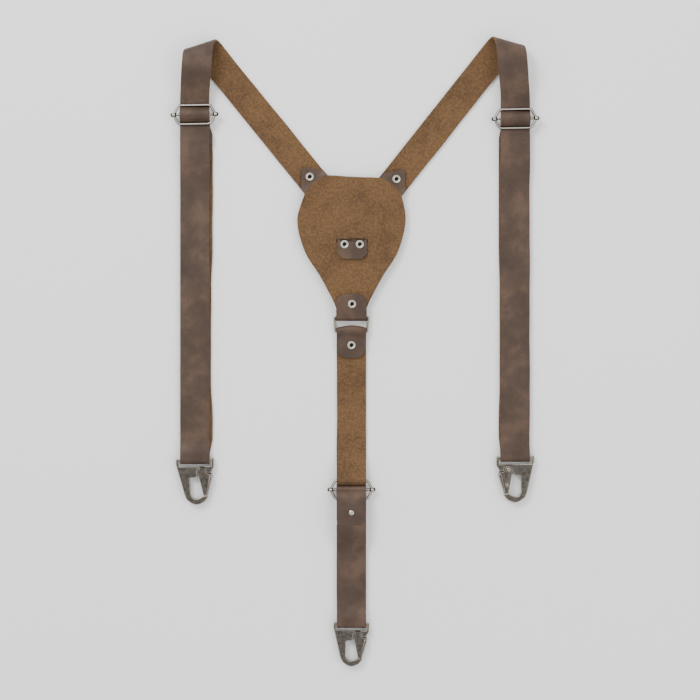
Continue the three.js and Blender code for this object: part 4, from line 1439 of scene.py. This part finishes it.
class SUSPENDERS_OT_rear_strap(bpy.types.Operator):
    """Make the rear strap: the parts above and below the adjuster, which feed through it, and its end"""
    bl_idname = "suspenders.rear_strap"
    bl_label = "Rear strap"

    def execute(self, context):
        strap = RearStrap()
        upper = strip("rear_strap_upper", strap.upper_route(), strap.place)
        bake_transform(upper)
        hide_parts("rear_strap")
        lower = strip("rear_strap_lower", strap.lower_route(), strap.place)
        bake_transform(lower)
        end = strip("rear_strap_end", fold_end(strap.adjuster), strap.place)
        dress(end, "rear_adjuster", "grain_leather")
        return {"FINISHED"}


class SUSPENDERS_OT_back_patch(bpy.types.Operator):
    """Make the back patch: the outer layer with its neck, the lining and the centre tab"""
    bl_idname = "suspenders.back_patch"
    bl_label = "Back patch"

    def execute(self, context):
        patch = Patch()
        outer = patch_layer("back_patch_face", patch, lambda flat: layer(1), TAB_TOP + OUTER_SLIT,
                            neck_route(patch))
        dress(outer, "back", "grain_leather", "back_patch_outer")

        def lining_height(flat):
            return layer(2) + max(sheet() * patch.rise(flat), patch.lip(flat)) + patch.ripple(flat)

        lining = patch_layer("back_patch_suede", patch, lining_height, TAB_TOP)
        dress(lining, "back", "suede_leather", "back_patch_lining")
        tab = strip("centre_tab_leather", centre_tab_route(),
                    lambda u, v, w: Vector((patch.tab_x + v, u, w)))
        dress(tab, "back", "grain_leather", "centre_tab")
        return {"FINISHED"}


class SUSPENDERS_OT_ring(bpy.types.Operator):
    """Make the D-ring"""
    bl_idname = "suspenders.ring"
    bl_label = "D-ring"

    def execute(self, context):
        dress(ring_wire(), "ring", "antique_pewter", "d_ring")
        return {"FINISHED"}


class SUSPENDERS_OT_adjusters(bpy.types.Operator):
    """Make the three wire adjusters"""
    bl_idname = "suspenders.adjusters"
    bl_label = "Adjusters"

    def execute(self, context):
        for side in HOOK_SIDES:
            dress(adjuster_frame(side), f"{side}_adjuster", "antique_nickel", f"{side}_adjuster_frame")
            dress(adjuster_bar(side), f"{side}_adjuster", "antique_nickel", f"{side}_adjuster_bar")
        return {"FINISHED"}


class SUSPENDERS_OT_rivets(bpy.types.Operator):
    """Make the tubular rivets and the rear tail's domed one"""
    bl_idname = "suspenders.rivets"
    bl_label = "Rivets"

    def execute(self, context):
        for node in ("left_ear_rivet", "right_ear_rivet", "centre_tab_rivet_left", "centre_tab_rivet_right",
                     "neck_rivet"):
            dress(tubular_rivet(f"{node}_tube", node), "back", "antique_nickel", node)
        dress(tubular_rivet("rear_strap_rivet_tube", "rear_strap_rivet"), "rear_strap", "antique_nickel",
              "rear_strap_rivet")
        for side in FRONT_SIDES:
            rivet = tubular_rivet(f"{side}_tail_rivet_tube", f"{side}_tail_rivet")
            dress(rivet, f"{side}_adjuster", "antique_nickel", f"{side}_tail_rivet")
        dress(faceted_rivet("rear_tail_rivet_dome", "rear_tail_rivet"), "rear_adjuster", "antique_nickel",
              "rear_tail_rivet")
        return {"FINISHED"}


class SUSPENDERS_OT_hooks(bpy.types.Operator):
    """Make the three snap hooks with their gates and pins"""
    bl_idname = "suspenders.hooks"
    bl_label = "Snap hooks"

    def execute(self, context):
        for side in HOOK_SIDES:
            dress(hook_body(side), f"{side}_hook", "antique_pewter", f"{side}_hook")
            pivot = hook_pin(f"{side}_hook_pivot_pin", side, GATE_PIVOT, PIVOT_RADIUS, PIVOT_HEAD)
            dress(pivot, f"{side}_hook", "antique_pewter", f"{side}_hook_pivot")
            dress(gate_body(side), f"{side}_gate", "antique_pewter", f"{side}_hook_gate")
            pin = hook_pin(f"{side}_hook_spring_rivet", side, SPRING_PIN, SPRING_PIN_RADIUS, SPRING_PIN_HEAD)
            dress(pin, f"{side}_gate", "antique_pewter", f"{side}_hook_spring_pin")
            spring = frame["nodes"][f"{side}_hook_spring"]
            spring.data.materials.clear()
            spring.data.materials.append(bpy.data.materials["metal_nickel"])
        return {"FINISHED"}


class SUSPENDERS_OT_stage(bpy.types.Operator):
    """Make the floor, the lights and the camera"""
    bl_idname = "suspenders.stage"
    bl_label = "Stage"

    def execute(self, context):
        make_floor()
        make_lights()
        make_camera()
        return {"FINISHED"}


OPERATORS = (
    SUSPENDERS_OT_materials,
    SUSPENDERS_OT_front_straps,
    SUSPENDERS_OT_rear_strap,
    SUSPENDERS_OT_back_patch,
    SUSPENDERS_OT_ring,
    SUSPENDERS_OT_adjusters,
    SUSPENDERS_OT_rivets,
    SUSPENDERS_OT_hooks,
    SUSPENDERS_OT_stage,
)


class SUSPENDERS_PT_panel(bpy.types.Panel):
    """The pieces of the suspenders"""
    bl_idname = "SUSPENDERS_PT_panel"
    bl_label = "Suspenders"
    bl_space_type = "VIEW_3D"
    bl_region_type = "UI"
    bl_category = "Suspenders"

    def draw(self, context):
        column = self.layout.column()
        for group in (context.scene.suspender_sizes, context.scene.suspender_colours):
            for name in group.bl_rna.properties.keys():
                if name not in ("rna_type", "name"):
                    column.prop(group, name)
        for operator in OPERATORS:
            column.operator(operator.bl_idname)


CLASSES = (SuspenderSizes, SuspenderColours, *OPERATORS, SUSPENDERS_PT_panel)


def register():
    for item in CLASSES:
        bpy.utils.register_class(item)
    bpy.types.Scene.suspender_sizes = PointerProperty(type=SuspenderSizes)
    bpy.types.Scene.suspender_colours = PointerProperty(type=SuspenderColours)


def unregister():
    del bpy.types.Scene.suspender_colours
    del bpy.types.Scene.suspender_sizes
    for item in reversed(CLASSES):
        bpy.utils.unregister_class(item)


def main():
    register()
    for operator in OPERATORS:
        group, name = operator.bl_idname.split(".")
        getattr(getattr(bpy.ops, group), name)()


if __name__ == "__main__":
    main()
